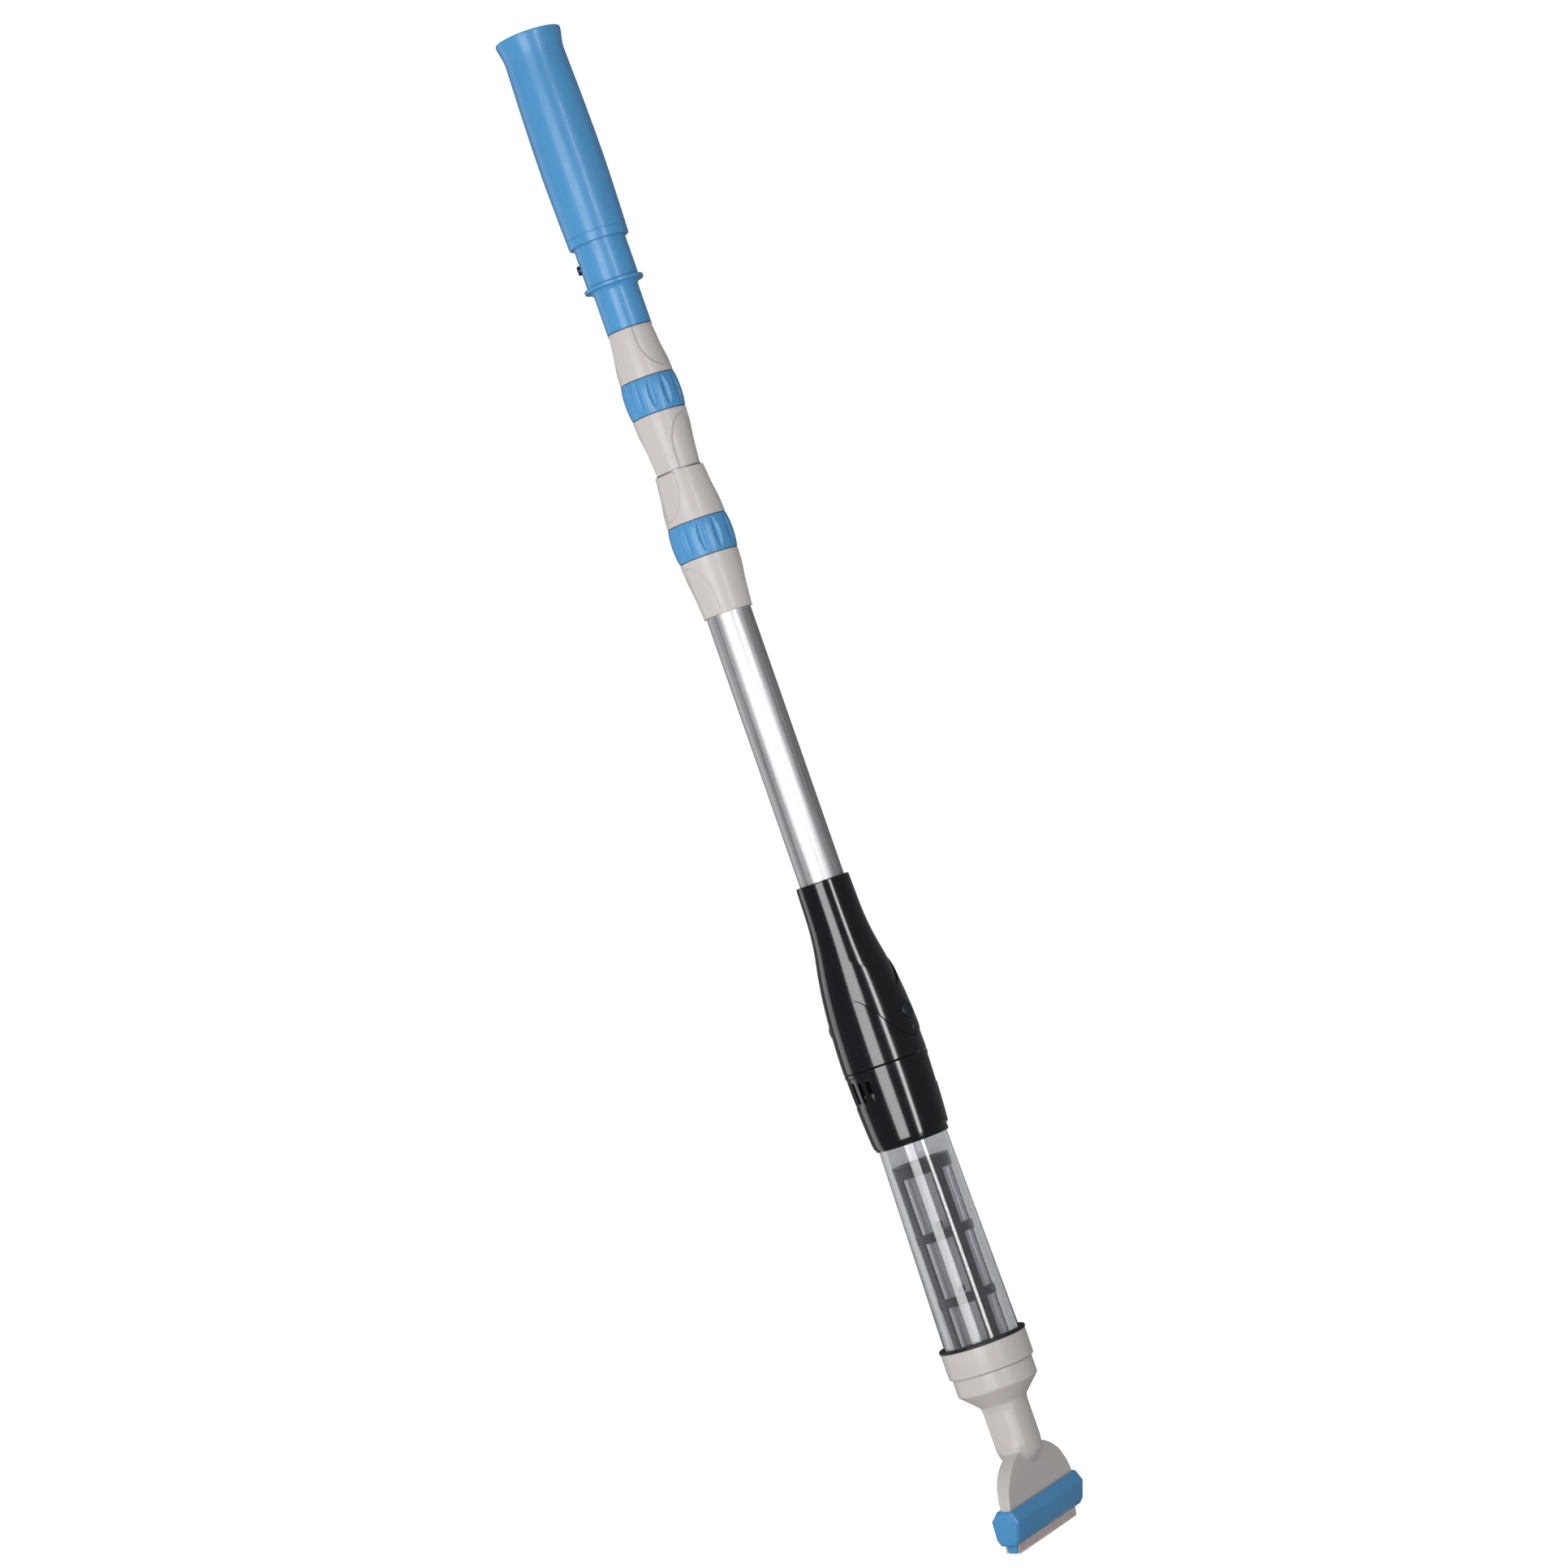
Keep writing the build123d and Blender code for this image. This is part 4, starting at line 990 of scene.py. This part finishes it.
def screen_lid(r, high, thin):
    """The round net that closes the top of the screen."""
    nothing_selected()
    bpy.ops.mesh.primitive_grid_add(
        x_subdivisions=28, y_subdivisions=28, size=2 * r, location=(0, 0, high - 3 * thin)
    )
    lid = bpy.context.object
    settle(lid)
    bpy.ops.object.mode_set(mode="EDIT")
    bpy.ops.mesh.select_all(action="DESELECT")
    bpy.ops.object.mode_set(mode="OBJECT")
    for vertex in lid.data.vertices:
        vertex.select = math.hypot(vertex.co.x, vertex.co.y) > r
    bpy.ops.object.mode_set(mode="EDIT")
    bpy.ops.mesh.select_mode(type="VERT")
    bpy.ops.mesh.delete(type="VERT")
    bpy.ops.object.mode_set(mode="OBJECT")
    net = lid.modifiers.new("net", "WIREFRAME")
    net.thickness = 2 * thin
    net.use_boundary = True
    apply_all(lid)
    return lid


class VACUUM_OT_filter(bpy.types.Operator):
    """The filter cage, its studs and the woven wire screen inside it"""

    bl_idname = "vacuum.filter"
    bl_label = "Filter"

    def execute(self, context):
        finish = make_finishes()
        sizes = context.scene.vacuum_sizes
        cage = refined("filter_cage", "cage", 0.0003, 2, 50)
        finish_piece(
            cage, "cage", ["filter_cage"], "nozzle", finish["cage"], 35
        )
        studs = refined("screen_studs", "cage_studs")
        finish_piece(
            studs, "cage_studs", ["screen_studs"], "nozzle", finish["cage"], 40
        )
        low, high = span("filter_screen")
        r = outer("filter_screen") - 0.0002
        thin = sizes.wire / 2
        hoops = screen_hoops(r, low, high, thin, sizes.wire_pitch)
        bars = screen_bars(r, low, high, thin, sizes.wire_pitch)
        lid = screen_lid(r, high, thin)
        nothing_selected()
        for part in (bars, lid, hoops):
            part.select_set(True)
        context.view_layer.objects.active = hoops
        bpy.ops.object.join()
        finish_piece(
            hoops, "wire_screen", ["filter_screen"], "nozzle", finish["mesh"], 60
        )
        return {"FINISHED"}


class VACUUM_OT_nozzle(bpy.types.Operator):
    """The grey collar, seal ring and nozzle body"""

    bl_idname = "vacuum.nozzle"
    bl_label = "Nozzle"

    def execute(self, context):
        finish = make_finishes()
        edge = context.scene.vacuum_sizes.edge
        foot, lip = span("nozzle_collar")
        wide = outer("nozzle_collar")
        spigot_r, seat_r, step = 0.0219, 0.0247, foot + 0.0028
        section = [
            (spigot_r, foot), (wide - 0.0007, foot), (wide - 0.0002, foot + 0.0004),
            (wide - 0.0001, foot + 0.001), (wide, lip - 0.0003), (wide - 0.0003, lip),
            (seat_r, lip), (seat_r, step), (spigot_r, step),
        ]
        collar = turned(section, 192)
        finish_piece(
            collar, "collar", ["nozzle_collar"], "nozzle", finish["grey"], 30
        )
        low, high = span("seal_ring")
        section = soften(
            [(seat_r, low), (0.0278, low), (0.0280, low + 0.001), (0.0276, high), (seat_r, high)],
            edge,
        )
        seal = turned(section, 192)
        finish_piece(
            seal, "seal", ["seal_ring"], "nozzle", finish["rubber"], 40
        )
        body = refined("nozzle_body", "suction_nozzle")
        even = body.modifiers.new("even", "REMESH")
        even.mode = "VOXEL"
        even.voxel_size = 0.00066
        ease_off = body.modifiers.new("rounded", "SMOOTH")
        ease_off.factor = 0.5
        ease_off.iterations = 5
        apply_all(body)
        neck_r, crease_depth = 0.0150, 0.0013
        neck_top, side_foot, front_foot = low - 0.038, low - 0.070, low - 0.080

        def facets(point):
            """Four flat sides round the neck, with soft creases between them."""
            r = math.hypot(point.x, point.y)
            if r < neck_r * 0.93:
                return 0.0
            front = ease((abs(point.y) / r - 0.6) / 0.15)
            below = ease((point.z - front_foot) / 0.014) * front
            below += ease((point.z - side_foot) / 0.012) * (1 - front)
            fade = min(below, ease((neck_top - point.z) / 0.006))
            fade *= ease((neck_r * 1.12 - r) / (neck_r * 0.09))
            return abs(math.cos(2 * math.atan2(point.y, point.x))) * fade

        pushed(body, crease_depth, facets)
        finish_piece(
            body, "suction_nozzle", ["nozzle_body"], "nozzle", finish["grey"], 35
        )
        return {"FINISHED"}


def bristle_strip(node, root_r, tilt):
    """Rows of tapered bristles that fill a strip's place under the hood."""
    low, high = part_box(node)
    middle = (low + high) / 2
    lean = Vector((0, math.sin(tilt), -math.cos(tilt)))
    across = Vector((0, math.cos(tilt), math.sin(tilt)))
    length = high.x - low.x
    thick = 0.0013
    depth = ((high.z - low.z) - thick * math.sin(tilt)) / math.cos(tilt)
    pitch = 0.00052
    rows, columns = 3, 4
    row_pitch, end_gap, sway = 0.00042, 0.0004, 0.00005
    nothing_selected()
    made = []
    for row in range(rows):
        for column in range(columns):
            wave = math.sin(7.3 * row + 3.1 * column)
            x = low.x + end_gap + (column + 0.5 * (row % 2)) * pitch
            side = (row - 1) * row_pitch + sway * wave
            reach = depth * (0.985 + 0.012 * wave)
            place = Vector((x, middle.y, middle.z)) + across * side - lean * (depth - reach) / 2
            bpy.ops.mesh.primitive_cone_add(
                vertices=6, radius1=root_r * 0.62, radius2=root_r, depth=reach,
                location=place, rotation=(tilt, 0.02 * math.cos(5.1 * row + column), 0),
            )
            made.append(bpy.context.object)
    nothing_selected()
    for part in made:
        part.select_set(True)
    bpy.context.view_layer.objects.active = made[0]
    bpy.ops.object.join()
    tuft = bpy.context.object
    settle(tuft)
    repeat = tuft.modifiers.new("row", "ARRAY")
    repeat.use_relative_offset = False
    repeat.use_constant_offset = True
    repeat.constant_offset_displace = (columns * pitch, 0, 0)
    repeat.count = int((length - 2 * end_gap) / (columns * pitch))
    apply_all(tuft)
    return tuft


class VACUUM_OT_brush(bpy.types.Operator):
    """The blue hood, its two bristle strips and the end blocks"""

    bl_idname = "vacuum.brush"
    bl_label = "Brush head"

    def execute(self, context):
        finish = make_finishes()
        sizes = context.scene.vacuum_sizes
        hood = refined("brush_hood", "hood", 0.0004, 3, 20)
        finish_piece(
            hood, "hood", ["brush_hood"], "brush", finish["blue"], 30
        )
        blocks = refined("end_blocks", "hood_feet", 0.0004, 2, 30)
        finish_piece(
            blocks, "hood_feet", ["end_blocks"], "brush", finish["blue"], 40
        )
        for node, name, coat in (
            ("front_bristles", "front_brush", "front_bristle"),
            ("rear_bristles", "rear_brush", "rear_bristle"),
        ):
            strip = bristle_strip(node, sizes.bristle / 2, sizes.mouth_tilt)
            finish_piece(strip, name, [node], "brush", finish[coat], 60)
        return {"FINISHED"}


class VACUUM_OT_inner_parts(bpy.types.Operator):
    """Finishes for the drive, battery, guides and seals that the frame carries over"""

    bl_idname = "vacuum.inner_parts"
    bl_label = "Inner parts"

    def execute(self, context):
        finish = make_finishes()
        coats = {
            "cage": ["motor_bulkhead", "inlet_grille", "push_switch", "charge_jack"],
            "rubber": [
                "nozzle_o_ring", "housing_gasket", "coupling_gasket", "shaft_seal", "valve_flap",
            ],
            "steel": ["snap_clip", "motor", "motor_shaft", "valve_pin"],
            "wrap": ["battery_cells"],
            "board": ["circuit_board"],
            "white": [
                "battery_frame", "lower_lock_collet", "upper_lock_collet", "middle_guide",
                "inner_guide", "impeller",
            ],
            "lens": ["charge_light"],
        }
        for coat, nodes in coats.items():
            for node in nodes:
                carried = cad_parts[node]
                carried.data.materials.clear()
                carried.data.materials.append(finish[coat])
        return {"FINISHED"}


# ---------------------------------------------------------------- stage
def strip_light(name, turn, distance, width, power, use):
    """A tall soft light that faces the pole from one direction.

    A "shine" light is only seen in reflections, and a "fill" light only in matt surfaces.
    """
    height, middle = 1.9, 0.5
    data = bpy.data.lights.new(name, "AREA")
    data.shape = "RECTANGLE"
    data.size = width
    data.size_y = height
    data.energy = power
    lamp = bpy.data.objects.new(name, data)
    bpy.context.scene.collection.objects.link(lamp)
    lamp.visible_diffuse = use != "shine"
    lamp.visible_glossy = use != "fill"
    out = Vector((math.cos(turn), math.sin(turn), 0))
    lamp.location = out * distance + Vector((0, 0, middle))
    lamp.rotation_euler = out.to_track_quat("Z", "Y").to_euler()
    return lamp


class VACUUM_OT_stage(bpy.types.Operator):
    """Pale floor, soft lights, white surroundings and the camera"""

    bl_idname = "vacuum.stage"
    bl_label = "Stage"

    def execute(self, context):
        scene = context.scene
        stage = scene.vacuum_stage
        nothing_selected()
        bpy.ops.mesh.primitive_plane_add(size=1.3, location=(0, 0, -0.0002))
        floor = context.object
        floor.name = "floor"
        paint, tree, shader = new_material("pale_floor")
        shader.inputs["Base Color"].default_value = (0.86, 0.86, 0.86, 1)
        shader.inputs["Roughness"].default_value = 0.9
        shader.inputs["Emission Color"].default_value = (1, 1, 1, 1)
        shader.inputs["Emission Strength"].default_value = 0.80
        floor.data.materials.append(paint)
        floor.visible_diffuse = False
        floor.visible_glossy = False

        world = bpy.data.worlds.new("studio")
        scene.world = world
        world.use_nodes = True
        tree = world.node_tree
        sky = tree.nodes["Background"]
        sky.inputs["Color"].default_value = (1, 1, 1, 1)
        path = tree.nodes.new("ShaderNodeLightPath")
        seen = tree.nodes.new("ShaderNodeMath")
        seen.operation = "MAXIMUM"
        tree.links.new(path.outputs["Is Camera Ray"], seen.inputs[0])
        tree.links.new(path.outputs["Is Transmission Ray"], seen.inputs[1])
        mirrored = tree.nodes.new("ShaderNodeMapRange")
        mirrored.inputs["To Min"].default_value = 0.45
        mirrored.inputs["To Max"].default_value = 0.12
        tree.links.new(path.outputs["Is Glossy Ray"], mirrored.inputs["Value"])
        level = tree.nodes.new("ShaderNodeMapRange")
        level.inputs["To Max"].default_value = 1.0
        tree.links.new(seen.outputs["Value"], level.inputs["Value"])
        tree.links.new(mirrored.outputs["Result"], level.inputs["To Min"])
        tree.links.new(level.outputs["Result"], sky.inputs["Strength"])

        # Name, degrees from the camera's side, distance, width, power and use.
        toward = stage.azimuth
        for name, degrees, distance, width, power, use in (
            ("broad_softbox", -18, 2.2, 1.15, 31, "both"),
            ("thin_strip", 30, 2.2, 0.34, 15, "shine"),
            ("left_wall", -118, 1.9, 0.80, 4.2, "both"),
            ("left_fill", -75, 1.9, 1.60, 5.0, "fill"),
            ("right_fill", 110, 2.2, 1.40, 3.0, "fill"),
        ):
            strip_light(name, toward + math.radians(degrees), distance, width, power, use)

        camera = bpy.data.objects.new("camera", bpy.data.cameras.new("camera"))
        scene.collection.objects.link(camera)
        camera.data.sensor_width = 36
        camera.data.lens = stage.lens
        camera.data.clip_end = 100
        out = Vector((math.cos(toward), math.sin(toward), 0))
        side = Vector((-math.sin(toward), math.cos(toward), 0))
        camera.location = out * stage.distance + Vector((0, 0, stage.height))
        target = side * stage.sideways + Vector((0, 0, stage.aim))
        look = (camera.location - target).to_track_quat("Z", "Y").to_matrix().to_4x4()
        camera.matrix_world = (
            Matrix.Translation(camera.location) @ look @ Matrix.Rotation(-stage.roll, 4, "Z")
        )
        scene.camera = camera
        scene.view_settings.view_transform = "Standard"
        return {"FINISHED"}


# ---------------------------------------------------------------- panel and run
PIECES = (
    VACUUM_OT_handle,
    VACUUM_OT_lock_shells,
    VACUUM_OT_twist_rings,
    VACUUM_OT_tubes,
    VACUUM_OT_housing,
    VACUUM_OT_chamber,
    VACUUM_OT_filter,
    VACUUM_OT_nozzle,
    VACUUM_OT_brush,
    VACUUM_OT_inner_parts,
    VACUUM_OT_stage,
)


class VACUUM_PT_panel(bpy.types.Panel):
    """Lists the settings and the pieces"""

    bl_idname = "VACUUM_PT_panel"
    bl_label = "Pool vacuum"
    bl_space_type = "VIEW_3D"
    bl_region_type = "UI"
    bl_category = "Pool Vacuum"

    def draw(self, context):
        for group in (
            context.scene.vacuum_colours, context.scene.vacuum_sizes, context.scene.vacuum_stage
        ):
            box = self.layout.box()
            for name in group.__annotations__:
                box.prop(group, name)
        for piece in PIECES:
            self.layout.operator(piece.bl_idname)


CLASSES = (VacuumColours, VacuumSizes, VacuumStage) + PIECES + (VACUUM_PT_panel,)


def register():
    for cls in CLASSES:
        bpy.utils.register_class(cls)
    bpy.types.Scene.vacuum_colours = bpy.props.PointerProperty(type=VacuumColours)
    bpy.types.Scene.vacuum_sizes = bpy.props.PointerProperty(type=VacuumSizes)
    bpy.types.Scene.vacuum_stage = bpy.props.PointerProperty(type=VacuumStage)


def unregister():
    del bpy.types.Scene.vacuum_stage
    del bpy.types.Scene.vacuum_sizes
    del bpy.types.Scene.vacuum_colours
    for cls in reversed(CLASSES):
        bpy.utils.unregister_class(cls)


def main():
    register()
    bpy.ops.vacuum.handle()
    bpy.ops.vacuum.lock_shells()
    bpy.ops.vacuum.twist_rings()
    bpy.ops.vacuum.tubes()
    bpy.ops.vacuum.housing()
    bpy.ops.vacuum.chamber()
    bpy.ops.vacuum.filter()
    bpy.ops.vacuum.nozzle()
    bpy.ops.vacuum.brush()
    bpy.ops.vacuum.inner_parts()
    bpy.ops.vacuum.stage()


if __name__ == "__main__":
    main()
